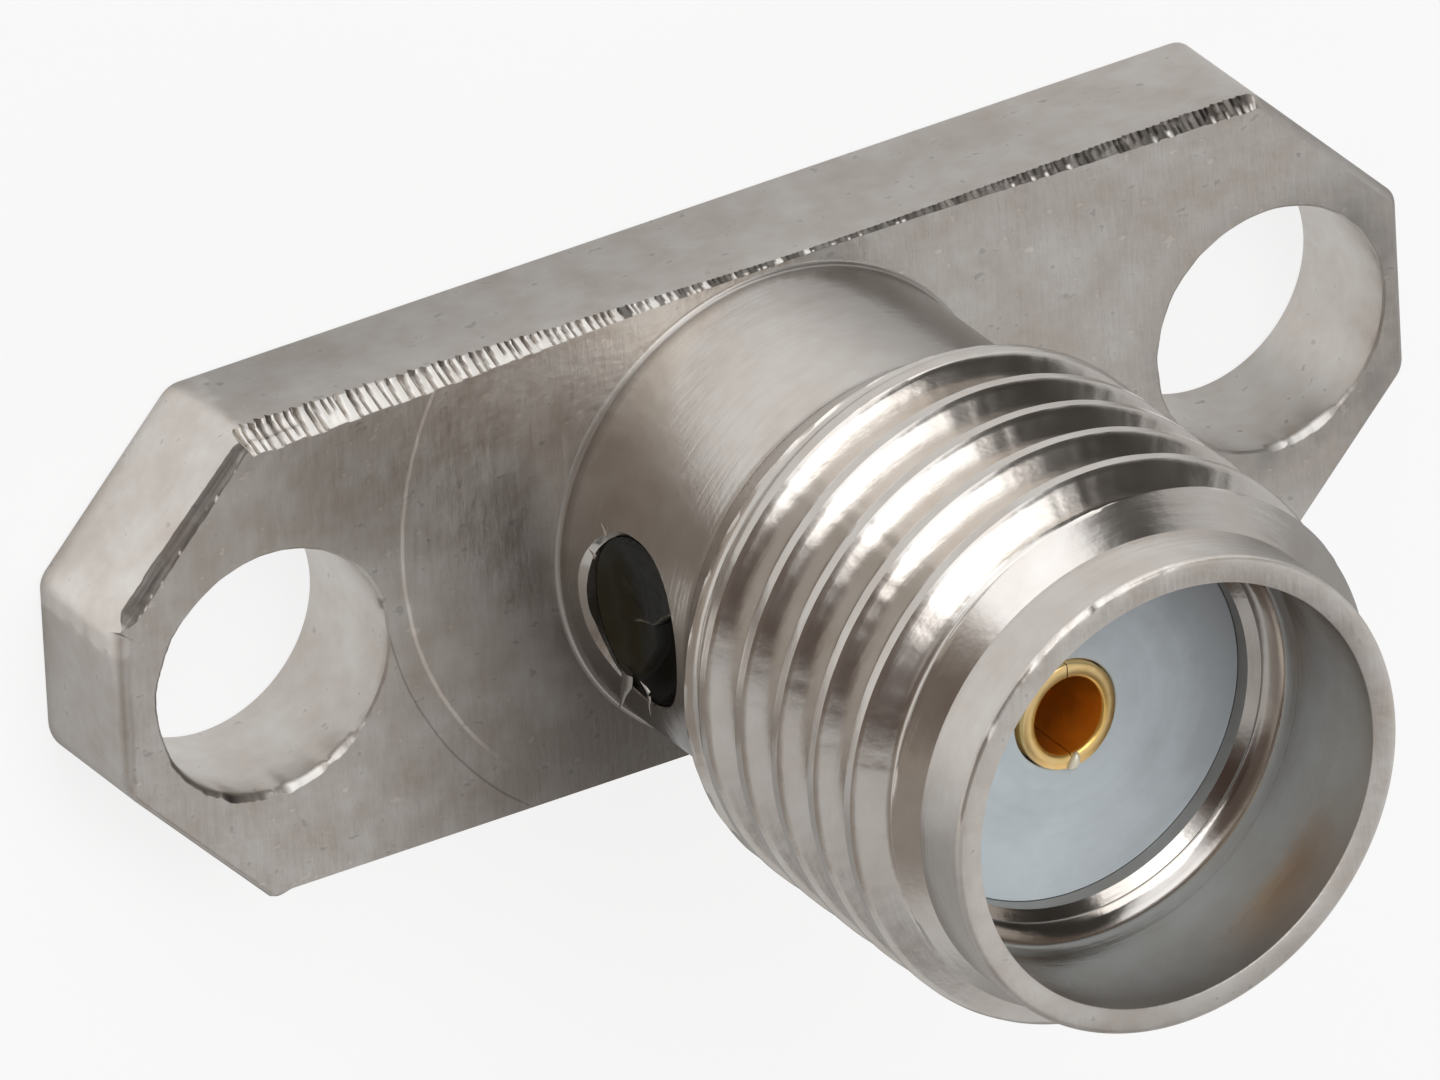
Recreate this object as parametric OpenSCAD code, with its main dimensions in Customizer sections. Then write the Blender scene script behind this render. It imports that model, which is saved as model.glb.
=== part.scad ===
// Subminiature coaxial jack with a two-hole flange.
// The origin is the centre of the flange's mounting face, and +Z runs along the
// connector to its mating end. X runs along the flange and Y across it.
// The coupling thread is drawn as its full-diameter cylinder.

/* [Flange] */
// Length of the flange, along X
flange_l = 15.72; // [15.0:0.01:19.0]
// Shift of the flange's middle from the connector's axis, along X
flange_shift = -0.09; // [-0.1:0.01:0.1]
// Width of the flange, along Y
flange_w = 5.54; // [4.4:0.01:7.0]
// Thickness of the flange
flange_t = 1.58; // [1.3:0.01:2.2]
// How much each cut corner takes off the length
corner_cut_l = 1.66; // [1.0:0.01:2.1]
// How much each cut corner takes off the width
corner_cut_w = 1.74; // [1.0:0.01:2.1]
// Rounding of the flange outline's eight corners
corner_r = 0.3; // [0.1:0.05:0.5]
// Distance between the two screw holes
hole_pitch = 12.24; // [10.6:0.01:12.6]
// Diameter of the screw holes
hole_d = 2.76; // [2.2:0.02:3.2]
// Broken edge of the screw holes
hole_break = 0.04; // [0.02:0.01:0.1]

/* [Tool cuts on the flange's front edges] */
// Depth of the cut on the +Y edge, at its deep end at -X
long_cut_depth = 0.36; // [0.1:0.01:0.5]
// Inset of the same cut on the front face
long_cut_inset = 0.19; // [0.08:0.01:0.3]
// Length over which it runs out
long_cut_l = 7.4; // [5.0:0.1:9.0]
// Depth of the shallow cut at the +X end of that edge
short_cut_depth = 0.12; // [0.05:0.01:0.3]
// Inset of the shallow cut
short_cut_inset = 0.09; // [0.04:0.01:0.2]
// Length over which the shallow cut runs out
short_cut_l = 4.8; // [3.0:0.1:6.0]
// Depth of the cut along the corner at -X, +Y
corner_cut_depth = 0.2; // [0.05:0.01:0.3]
// Inset of the cut along that corner
corner_cut_inset = 0.08; // [0.04:0.01:0.2]
// Depth of the cut on the -Y edge, at its deep end at -X
back_cut_depth = 0.36; // [0.1:0.01:0.5]
// Inset of the same cut on the front face
back_cut_inset = 0.19; // [0.08:0.01:0.3]
// Length over which it would run out
back_cut_l = 21.5; // [14.0:0.5:30.0]
// Broken edge of the two ends and the other three corners
edge_break = 0.1; // [0.04:0.01:0.2]

/* [Barrel] */
// Distance from the mounting face to the front face
barrel_h = 9.37; // [8.9:0.01:11.3]
// Diameter of the smooth neck
neck_d = 5.3; // [5.0:0.01:5.8]
// Fillet between neck and flange
neck_fillet = 0.1; // [0.05:0.01:0.2]
// Full diameter of the coupling thread
thread_d = 6.2; // [6.0:0.01:7.5]
// Length of the smooth neck above the flange
neck_l = 2.5; // [2.3:0.05:3.0]
// Length of the slope up to the thread
thread_rear_l = 0.68; // [0.4:0.02:0.9]
// Length of the slope down from the thread to the pilot
thread_lead_l = 0.5; // [0.3:0.02:0.7]
// Diameter of the plain pilot at the front
pilot_d = 5.34; // [5.1:0.01:5.9]
// Length of the pilot
pilot_l = 0.72; // [0.5:0.01:1.0]
// Broken edge around the front face
rim_break = 0.03; // [0.01:0.01:0.06]

/* [Mouth and bores] */
// Diameter of the mouth that takes the mating plug's sleeve
mouth_d = 4.76; // [4.4:0.01:4.9]
// Depth of the mouth down to its flat seat
mouth_depth = 2.0; // [1.6:0.01:2.4]
// Diameter of the dielectric bead
bead_d = 4.2; // [3.5:0.01:4.3]
// Radial gap between the bead and its bore
bead_gap = 0.01; // [0.005:0.005:0.03]
// How far the bead's front lies below the seat
bead_recess = 0.16; // [0.05:0.01:0.3]
// Broken edge at the top of the bead's bore
seat_break = 0.05; // [0.02:0.01:0.08]
// How far the bead's rear lies above the mounting face
bead_rear_recess = 0.02; // [0:0.01:0.1]

/* [Centre contact] */
// Diameter of the contact
contact_d = 1.26; // [1.1:0.01:1.5]
// Radial gap between the contact and the bead
contact_gap = 0.01; // [0.005:0.005:0.03]
// How far the contact's tip stands above the bead
contact_proud = 0.05; // [0:0.01:0.1]
// Diameter of the front socket
socket_d = 0.92; // [0.8:0.01:0.98]
// Depth of the front socket
socket_depth = 2.6; // [2.0:0.05:2.8]
// Countersink at the socket's mouth
socket_sink = 0.05; // [0.02:0.01:0.06]
// Width of the two spring slots
slot_w = 0.12; // [0.08:0.01:0.2]
// Length of the spring slots
slot_l = 2.1; // [1.5:0.05:2.4]
// Diameter of the rear socket
rear_socket_d = 0.5; // [0.4:0.01:0.7]
// Depth of the rear socket
rear_socket_depth = 1.3; // [1.0:0.05:1.6]
// How far the contact's rear end lies above the mounting face
contact_rear_recess = 0.05; // [0:0.01:0.2]
// Broken edges of the contact
contact_break = 0.05; // [0.02:0.01:0.08]

/* [Side hole and resin] */
// Diameter of the side hole through the neck
side_hole_d = 1.84; // [1.4:0.02:1.9]
// Height of the side hole's centre above the flange's front face
side_hole_up = 1.36; // [1.2:0.01:1.46]
// Depth of the contact's groove
groove_depth = 0.15; // [0.1:0.01:0.18]
// Width of the contact's groove
groove_w = 1.1; // [0.7:0.05:1.2]
// Gap between the resin and what it touches
resin_gap = 0.01; // [0.005:0.005:0.02]
// How far the resin's edge lies below the neck's surface
resin_recess = 0.2; // [0.16:0.01:0.35]
// Depth of the hollow in the resin's face
resin_dish = 0.12; // [0.05:0.01:0.15]

/* [Hidden] */

$fn = 96;
past = 1;
fillet_steps = 6;
corner_steps = 4;
drill_point_angle = 59;

left_end = flange_shift - flange_l / 2;
right_end = flange_shift + flange_l / 2;
half_w = flange_w / 2;
neck_r = neck_d / 2;
thread_r = thread_d / 2;
pilot_r = pilot_d / 2;
mouth_r = mouth_d / 2;
bead_r = bead_d / 2;
bore_r = bead_r + bead_gap;
contact_r = contact_d / 2;
bead_hole_r = contact_r + contact_gap;
socket_r = socket_d / 2;
rear_socket_r = rear_socket_d / 2;
side_hole_r = side_hole_d / 2;
resin_r = side_hole_r - resin_gap;
groove_r = contact_r - groove_depth;

neck_top = flange_t + neck_l;
thread_low = neck_top + thread_rear_l;
pilot_low = barrel_h - pilot_l;
thread_high = pilot_low - thread_lead_l;
seat_z = barrel_h - mouth_depth;
bead_top = seat_z - bead_recess;
contact_top = bead_top + contact_proud;
side_hole_z = flange_t + side_hole_up;
resin_face = neck_r - resin_recess;

function unit(v) = v / norm(v);

// The arc that rounds the corner at b between its neighbours a and c
function round_corner(a, b, c, r) =
    let (
        back = unit(a - b),
        ahead = unit(c - b),
        half_angle = acos(back * ahead) / 2,
        centre = b + unit(back + ahead) * r / sin(half_angle),
        turn = 180 - 2 * half_angle,
        first = atan2(back[0], -back[1])
    )
    [for (i = [0 : corner_steps])
        let (angle = first + turn * i / corner_steps)
        centre + r * [cos(angle), sin(angle)]];

// The eight corners of the flange, counter-clockwise from the +X end
flange_corners = [
    [right_end, half_w - corner_cut_w],
    [right_end - corner_cut_l, half_w],
    [left_end + corner_cut_l, half_w],
    [left_end, half_w - corner_cut_w],
    [left_end, corner_cut_w - half_w],
    [left_end + corner_cut_l, -half_w],
    [right_end - corner_cut_l, -half_w],
    [right_end, corner_cut_w - half_w]
];

// The edges with an even break, each named by the corner it starts from: the
// +X+Y corner, the -X end, the -X-Y corner, the +X-Y corner and the +X end
broken_edges = [0, 3, 4, 6, 7];

flange_outline = [
    for (i = [0 : 7])
        each round_corner(flange_corners[(i + 7) % 8], flange_corners[i],
                          flange_corners[(i + 1) % 8], corner_r)
];

// The fillet's points, from the flange's face up to the neck
fillet_arc = [
    for (i = [0 : fillet_steps])
        let (angle = 90 * i / fillet_steps)
        [neck_r + neck_fillet * (1 - sin(angle)), flange_t + neck_fillet * (1 - cos(angle))]
];

// A planar cut along a front edge. It starts at the point given and runs in the
// direction of heading, with the outside of the flange on its left. It shrinks
// from depth and inset to nothing over run.
module edge_cut(point, heading, depth, inset, run) {
    size = 2 * depth;
    translate([point[0], point[1], flange_t])
        rotate([0, 0, heading])
            translate([0, -inset, 0])
                rotate([0, 0, atan(inset / run)])
                    rotate([-atan(depth / inset), 0, 0])
                        translate([-past, 0, 0])
                            cube([run + past, size, size]);
}

// The same cut, run the other way along its edge
module edge_cut_back(point, heading, depth, inset, run) {
    translate([point[0], point[1], 0])
        rotate([0, 0, heading])
            mirror([1, 0, 0])
                edge_cut([0, 0], 0, depth, inset, run);
}

// An even break along the front edge from corner i to the next one
module edge_bevel(i) {
    side = edge_break * sqrt(2);
    start = flange_corners[i];
    way = flange_corners[(i + 1) % 8] - start;
    translate([start[0], start[1], flange_t])
        rotate([0, 0, atan2(way[1], way[0])])
            translate([norm(way) / 2, 0, 0])
                rotate([45, 0, 0])
                    cube([norm(way) + 2 * past, side, side], center = true);
}

module screw_hole(x) {
    translate([x, 0, -past])
        cylinder(d = hole_d, h = flange_t + 2 * past);
    translate([x, 0, flange_t - hole_break])
        cylinder(r1 = hole_d / 2, r2 = hole_d / 2 + hole_break + past, h = hole_break + past);
    translate([x, 0, hole_break])
        mirror([0, 0, 1])
            cylinder(r1 = hole_d / 2, r2 = hole_d / 2 + hole_break + past, h = hole_break + past);
}

module flange_plate() {
    corner_heading = atan2(corner_cut_w, corner_cut_l);
    difference() {
        linear_extrude(flange_t)
            polygon(flange_outline);
        for (side = [-1, 1])
            screw_hole(side * hole_pitch / 2);
        for (i = broken_edges)
            edge_bevel(i);
        edge_cut(flange_corners[2], 0, long_cut_depth, long_cut_inset, long_cut_l);
        edge_cut_back(flange_corners[1], 0, short_cut_depth, short_cut_inset, short_cut_l);
        edge_cut(flange_corners[3], corner_heading, corner_cut_depth, corner_cut_inset,
                 2 * norm([corner_cut_l, corner_cut_w]));
        edge_cut_back(flange_corners[5], 180, back_cut_depth, back_cut_inset, back_cut_l);
    }
}

module barrel() {
    rotate_extrude()
        polygon(concat(
            [[0, 0], [neck_r + neck_fillet, 0]],
            fillet_arc,
            [
                [neck_r, neck_top],
                [thread_r, thread_low],
                [thread_r, thread_high],
                [pilot_r, pilot_low],
                [pilot_r, barrel_h - rim_break],
                [pilot_r - rim_break, barrel_h],
                [0, barrel_h]
            ]
        ));
}

// What is turned out of the barrel: the through bore, its broken edge, the
// mouth with its flat seat, and the mouth's broken edge
module bores() {
    translate([0, 0, -past])
        cylinder(r = bore_r, h = seat_z + 2 * past);
    translate([0, 0, seat_z])
        cylinder(r = mouth_r, h = mouth_depth + past);
    translate([0, 0, seat_z - seat_break])
        cylinder(r1 = bore_r, r2 = bore_r + seat_break, h = seat_break);
    translate([0, 0, barrel_h - rim_break])
        cylinder(r1 = mouth_r, r2 = mouth_r + rim_break + past, h = rim_break + past);
}

// A round hole from the axis out through the -X side of the neck
module side_bore(r, reach) {
    translate([0, 0, side_hole_z])
        rotate([0, -90, 0])
            cylinder(r = r, h = reach);
}

module body() {
    color([0.66, 0.64, 0.61])
        difference() {
            union() {
                flange_plate();
                barrel();
            }
            bores();
            side_bore(side_hole_r, neck_r + past);
        }
}

module dielectric_bead() {
    length = bead_top - bead_rear_recess;
    color([0.86, 0.89, 0.93])
        difference() {
            translate([0, 0, bead_rear_recess])
                cylinder(r = bead_r, h = length);
            translate([0, 0, -past])
                cylinder(r = bead_hole_r, h = bead_top + 2 * past);
            side_bore(side_hole_r, bead_r + past);
        }
}

// A drilled hole that ends in the drill's point, opening upwards
module drilled(r, depth) {
    point = r / tan(drill_point_angle);
    translate([0, 0, -depth])
        cylinder(r = r, h = depth + past);
    translate([0, 0, -depth - point])
        cylinder(r1 = 0, r2 = r, h = point);
}

module contact_blank() {
    low = contact_rear_recess;
    groove_low = side_hole_z - groove_w / 2;
    groove_high = side_hole_z + groove_w / 2;
    rotate_extrude()
        polygon([
            [0, low],
            [contact_r - contact_break, low],
            [contact_r, low + contact_break],
            [contact_r, groove_low],
            [groove_r, groove_low],
            [groove_r, groove_high],
            [contact_r, groove_high],
            [contact_r, contact_top - contact_break],
            [contact_r - contact_break, contact_top],
            [0, contact_top]
        ]);
}

module centre_contact() {
    color([0.83, 0.62, 0.27])
        difference() {
            contact_blank();
            translate([0, 0, contact_top])
                drilled(socket_r, socket_depth);
            translate([0, 0, contact_top - socket_sink])
                cylinder(r1 = socket_r, r2 = socket_r + socket_sink + past, h = socket_sink + past);
            translate([-slot_w / 2, -contact_r - past, contact_top - slot_l])
                cube([slot_w, 2 * (contact_r + past), slot_l + past]);
            translate([0, 0, contact_rear_recess])
                mirror([0, 0, 1])
                    drilled(rear_socket_r, rear_socket_depth);
        }
}

// The resin fills the side hole from its dished face to the axis, and the
// contact's groove all round
module captive_resin() {
    ring_w = groove_w - 2 * resin_gap;
    dish_r = (resin_r * resin_r + resin_dish * resin_dish) / (2 * resin_dish);
    color([0.09, 0.12, 0.1])
        difference() {
            union() {
                side_bore(resin_r, resin_face);
                translate([0, 0, side_hole_z - ring_w / 2])
                    cylinder(r = bead_hole_r - resin_gap, h = ring_w);
            }
            translate([0, 0, side_hole_z - side_hole_r - past])
                cylinder(r = groove_r + resin_gap, h = 2 * (side_hole_r + past));
            for (side = [-1, 1])
                translate([0, 0, side_hole_z + side * (ring_w / 2 + side_hole_r)])
                    cylinder(r = contact_r + resin_gap, h = 2 * side_hole_r, center = true);
            translate([-resin_face - dish_r + resin_dish, 0, side_hole_z])
                sphere(r = dish_r);
        }
}

body();
dielectric_bead();
centre_contact();
captive_resin();
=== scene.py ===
"""Looks of a subminiature coaxial jack with a two-hole flange.

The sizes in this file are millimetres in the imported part's own frame: the origin is on the
connector's axis in the plane of the mounting face, Z runs to the mating end, X along the flange.
"""

import bisect
import logging
import math
import random
from dataclasses import dataclass, field, replace
from enum import Enum
from types import SimpleNamespace
from typing import Iterable, Sequence, Union

import bmesh
import bpy
from mathutils import Matrix, Vector, noise

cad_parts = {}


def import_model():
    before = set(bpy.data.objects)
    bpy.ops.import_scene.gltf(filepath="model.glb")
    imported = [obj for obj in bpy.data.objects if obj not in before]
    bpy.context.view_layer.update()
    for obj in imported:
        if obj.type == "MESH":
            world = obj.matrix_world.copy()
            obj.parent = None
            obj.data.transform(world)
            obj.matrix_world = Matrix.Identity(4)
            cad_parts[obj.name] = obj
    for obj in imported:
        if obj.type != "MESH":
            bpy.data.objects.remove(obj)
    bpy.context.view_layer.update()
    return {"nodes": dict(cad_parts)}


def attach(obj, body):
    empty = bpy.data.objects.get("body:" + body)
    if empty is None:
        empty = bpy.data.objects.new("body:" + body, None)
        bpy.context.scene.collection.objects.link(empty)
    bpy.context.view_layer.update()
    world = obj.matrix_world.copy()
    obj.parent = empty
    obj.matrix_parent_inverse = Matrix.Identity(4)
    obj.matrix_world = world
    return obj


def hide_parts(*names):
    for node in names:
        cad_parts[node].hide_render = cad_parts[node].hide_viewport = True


LOG = logging.getLogger("coaxial_jack")

MM = 0.001
COLUMNS = 256
FIRST_TURN = -0.25
SHARP_EDGE = math.radians(35.0)
ON_AXIS = 0.0001
ROD_SIDES = 96
BUMP_DISTANCE = 0.02

Point = tuple[float, float, float]
Colour = tuple[float, float, float]
Run = tuple[float, float]
Profile = Sequence[Run]
Row = list[bmesh.types.BMVert]
Number = Union[float, "Signal"]


class Slot(Enum):
    """Material slots of the record."""

    NICKEL = "nickel_metal"
    BEAD = "fluoropolymer"
    GOLD = "gold_contact"
    RESIN = "dark_resin"


class Piece(Enum):
    """Names of the finished pieces."""

    BODY = "jack_body"
    BEAD = "dielectric"
    CONTACT = "socket_contact"
    RESIN = "resin_plug"


class Cut(Enum):
    """How the tool left a broken edge."""

    PLAIN = "plain"
    CHATTER = "chatter"
    DRAWN = "drawn"


def circle(count: int) -> list[float]:
    """Equal steps once round, in radians."""
    return [2 * math.pi * k / count for k in range(count)]


def ramp(value: float, low: float, high: float) -> float:
    """Smooth step from 0 at low to 1 at high."""
    share = min(1.0, max(0.0, (value - low) / (high - low)))
    return share * share * (3 - 2 * share)


def mix(low: float, high: float, share: float) -> float:
    """Straight blend of two values."""
    return low + (high - low) * share


def uneven(*place: float) -> float:
    """Smooth unevenness at a place, about -1 to 1."""
    return noise.noise(Vector(place))


class Graph:
    """A node tree that is filled by plain method calls and expressions."""

    def __init__(self, tree: bpy.types.NodeTree) -> None:
        """Empties the tree.

        Args:
            tree: A material's, world's or modifier's node tree.
        """
        self.tree = tree
        tree.nodes.clear()

    def add(self, kind: str, settings: dict | None = None,
            inputs: dict | None = None) -> bpy.types.Node:
        """Adds one node.

        Args:
            kind: The node's type name.
            settings: Properties of the node, set before its sockets.
            inputs: Values or signals for its sockets, by name or by index.

        Returns:
            The new node.
        """
        node = self.tree.nodes.new(kind)
        for name, value in (settings or {}).items():
            setattr(node, name, value)
        for key, value in (inputs or {}).items():
            if isinstance(value, Signal):
                self.tree.links.new(value.socket, node.inputs[key])
            else:
                node.inputs[key].default_value = value
        return node

    def signal(self, node: bpy.types.Node, output: Union[str, int] = 0) -> "Signal":
        """Wraps one output of a node."""
        return Signal(self, node.outputs[output])

    def made(self, kind: str, settings: dict | None = None, inputs: dict | None = None) -> "Signal":
        """Adds one node and wraps its first output."""
        return self.signal(self.add(kind, settings, inputs))

    def maths(self, operation: str, *values: Number, clamp: bool = False) -> "Signal":
        """Adds a Math node.

        Args:
            operation: The node's operation.
            values: Its operands, in order.
            clamp: Whether the result is held between 0 and 1.

        Returns:
            The result.
        """
        settings = {"operation": operation, "use_clamp": clamp}
        return self.made("ShaderNodeMath", settings, dict(enumerate(values)))

    def blend(self, factor: Number, first: object, second: object) -> "Signal":
        """Mixes two colours by a factor.

        Args:
            factor: 0 gives the first colour, 1 the second.
            first: A colour or a signal.
            second: A colour or a signal.

        Returns:
            The mixed colour.
        """
        first, second = (colour if isinstance(colour, Signal) else (*colour, 1.0)
                         for colour in (first, second))
        node = self.add("ShaderNodeMix", {"data_type": "RGBA"}, {0: factor, 6: first, 7: second})
        return self.signal(node, 2)

    def product(self, first: "Signal", second: object) -> "Signal":
        """Multiplies two vectors part by part."""
        return self.made("ShaderNodeVectorMath", {"operation": "MULTIPLY"}, {0: first, 1: second})

    def scale(self, vector: "Signal", factor: Number) -> "Signal":
        """Scales a vector or a colour."""
        inputs = {0: vector, "Scale": factor}
        return self.made("ShaderNodeVectorMath", {"operation": "SCALE"}, inputs)

    def length(self, vector: "Signal") -> "Signal":
        """Length of a vector."""
        node = self.add("ShaderNodeVectorMath", {"operation": "LENGTH"}, {0: vector})
        return self.signal(node, "Value")

    def distance(self, x: Number, y: Number) -> "Signal":
        """Distance of a place from an axis along Z."""
        return self.length(self.join(x, y, 0.0))

    def noise(self, place: "Signal", scale: Number, detail: float = 2.0,
              rough: float = 0.5) -> "Signal":
        """Adds a noise texture.

        Args:
            place: Where it is read.
            scale: Its frequency.
            detail: Its octaves.
            rough: How strong the finer octaves are.

        Returns:
            The noise less its mean, about -0.5 to 0.5.
        """
        values = {"Vector": place, "Scale": scale, "Detail": detail, "Roughness": rough}
        return self.signal(self.add("ShaderNodeTexNoise", inputs=values), "Fac") - 0.5

    def join(self, x: Number, y: Number, z: Number) -> "Signal":
        """Combines three numbers into a vector."""
        return self.made("ShaderNodeCombineXYZ", inputs={0: x, 1: y, 2: z})

    def parts(self, vector: "Signal") -> tuple["Signal", "Signal", "Signal"]:
        """Splits a vector into its three numbers."""
        node = self.add("ShaderNodeSeparateXYZ", inputs={0: vector})
        return tuple(self.signal(node, index) for index in range(3))


class Signal:
    """One output socket, with the operators that its maths needs."""

    def __init__(self, graph: Graph, socket: bpy.types.NodeSocket) -> None:
        """Keeps the graph and the socket."""
        self.graph = graph
        self.socket = socket

    def __add__(self, other: Number) -> "Signal":
        """Sum."""
        return self.graph.maths("ADD", self, other)

    __radd__ = __add__

    def __mul__(self, other: Number) -> "Signal":
        """Product."""
        return self.graph.maths("MULTIPLY", self, other)

    def __sub__(self, other: Number) -> "Signal":
        """Difference."""
        return self.graph.maths("SUBTRACT", self, other)

    def __rsub__(self, other: Number) -> "Signal":
        """Difference the other way round."""
        return self.graph.maths("SUBTRACT", other, self)

    def __truediv__(self, other: Number) -> "Signal":
        """Quotient."""
        return self.graph.maths("DIVIDE", self, other)

    def __abs__(self) -> "Signal":
        """Size without its sign."""
        return self.graph.maths("ABSOLUTE", self)

    def low(self, other: Number) -> "Signal":
        """The lower of the two."""
        return self.graph.maths("MINIMUM", self, other)

    def high(self, other: Number) -> "Signal":
        """The higher of the two."""
        return self.graph.maths("MAXIMUM", self, other)

    def held(self) -> "Signal":
        """The value held between 0 and 1."""
        return self.graph.maths("ADD", self, 0.0, clamp=True)

    def step(self, low: float, high: float) -> "Signal":
        """Smooth step: 0 at low and 1 at high, also where low is the higher one.

        Args:
            low: Where it leaves 0.
            high: Where it reaches 1.

        Returns:
            The step.
        """
        values = {"Value": self, "From Min": min(low, high), "From Max": max(low, high)}
        if low > high:
            values |= {"To Min": 1.0, "To Max": 0.0}
        return self.graph.made("ShaderNodeMapRange", {"interpolation_type": "SMOOTHSTEP"}, values)


class Shell:
    """The skin of one piece, in millimetres until it is finished."""

    def __init__(self) -> None:
        """Starts with no vertices. The tone of each says how much brighter or darker it is painted:
        wear and marks, and also painted glints and painted shade.
        """
        self.mesh = bmesh.new()
        self.tone = self.mesh.verts.layers.float.new("tone")

    def loop(self, points: Iterable[Point], tones: Iterable[float] = ()) -> Row:
        """Adds a row of vertices.

        Args:
            points: Where they lie.
            tones: The tone of each, or nothing for plain ones.

        Returns:
            The row.
        """
        row = [self.mesh.verts.new(point) for point in points]
        for vert, tone in zip(row, tones):
            vert[self.tone] = tone
        return row

    def ring(self, radius: float, z: float) -> Row:
        """Adds a circle round the axis, one vertex in each column."""
        angles = [FIRST_TURN * 2 * math.pi + turn for turn in circle(COLUMNS)]
        return self.loop((radius * math.cos(a), radius * math.sin(a), z) for a in angles)

    def bridge(self, *rows: Row, closed: bool = True) -> list[bmesh.types.BMFace]:
        """Joins each row to the next, of as many vertices, with faces.

        Args:
            rows: The rows in order.
            closed: Whether the last vertex of each joins its first.

        Returns:
            The faces.
        """
        faces = []
        count = len(rows[0]) if closed else len(rows[0]) - 1
        for low, high in zip(rows, rows[1:]):
            for i in range(count):
                j = (i + 1) % len(low)
                faces.append(self.mesh.faces.new((low[i], low[j], high[j], high[i])))
        return faces

    def solid(self, rows: Sequence[Row]) -> None:
        """Adds a closed solid of these rows, with its faces outwards.

        Args:
            rows: Its rows from one end to the other.
        """
        faces = self.bridge(*rows)
        faces += [self.mesh.faces.new(row) for row in (rows[0], rows[-1])]
        bmesh.ops.recalc_face_normals(self.mesh, faces=faces)

    def revolve(self, profile: Profile) -> tuple[Row, Row]:
        """Turns a profile round the axis.

        Args:
            profile: Radius and height of each point.

        Returns:
            The first ring and the last.
        """
        rings = [self.ring(radius, z) for radius, z in profile]
        self.bridge(*rings)
        return rings[0], rings[-1]

    def fill(self, loops: Sequence[Row], normal: Point) -> None:
        """Fills the flat area between an outline and the holes in it.

        Args:
            loops: The outline and the holes' edges.
            normal: Which way the area faces.
        """
        edges = [self.mesh.edges.get((a, b)) or self.mesh.edges.new((a, b))
                 for loop in loops for a, b in zip(loop, loop[1:] + loop[:1])]
        bmesh.ops.triangle_fill(self.mesh, edges=edges, use_beauty=True, normal=normal)

    def absorb(self, mesh: bpy.types.Mesh) -> None:
        """Takes in another mesh.

        Args:
            mesh: The other mesh, in metres.
        """
        other = bmesh.new()
        other.from_mesh(mesh)
        bmesh.ops.scale(other, vec=(1 / MM,) * 3, verts=other.verts)
        spare = bpy.data.meshes.new("spare")
        other.to_mesh(spare)
        other.free()
        self.mesh.from_mesh(spare)
        bpy.data.meshes.remove(spare)

    def weld(self, distance: float = 0.001) -> None:
        """Merges vertices that meet and turns all faces outwards.

        Args:
            distance: How near they lie to each other.
        """
        bmesh.ops.remove_doubles(self.mesh, verts=self.mesh.verts, dist=distance)
        bmesh.ops.dissolve_degenerate(self.mesh, edges=self.mesh.edges, dist=distance / 4)
        bmesh.ops.recalc_face_normals(self.mesh, faces=self.mesh.faces)

    def finish(self, name: str) -> bpy.types.Object:
        """Turns the skin into an object in metres.

        Args:
            name: The object's name.

        Returns:
            The object, linked to the scene.
        """
        bmesh.ops.scale(self.mesh, vec=(MM,) * 3, verts=self.mesh.verts)
        data = bpy.data.meshes.new(name)
        self.mesh.to_mesh(data)
        self.mesh.free()
        data.polygons.foreach_set("use_smooth", [True] * len(data.polygons))
        data.set_sharp_from_angle(angle=SHARP_EDGE)
        made = bpy.data.objects.new(name, data)
        bpy.context.scene.collection.objects.link(made)
        return made


def coat(piece: bpy.types.Object, material: bpy.types.Material) -> bpy.types.Object:
    """Gives a piece its one material.

    Args:
        piece: The piece.
        material: What coats it.

    Returns:
        The piece.
    """
    piece.data.materials.clear()
    piece.data.materials.append(material)
    return piece


def open_edges(piece: bpy.types.Object) -> int:
    """Counts the edges of a piece that don't join exactly two faces.

    Args:
        piece: The finished piece.

    Returns:
        The number of such edges.
    """
    mesh = bmesh.new()
    mesh.from_mesh(piece.data)
    count = sum(1 for edge in mesh.edges if len(edge.link_faces) != 2)
    mesh.free()
    return count


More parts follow.
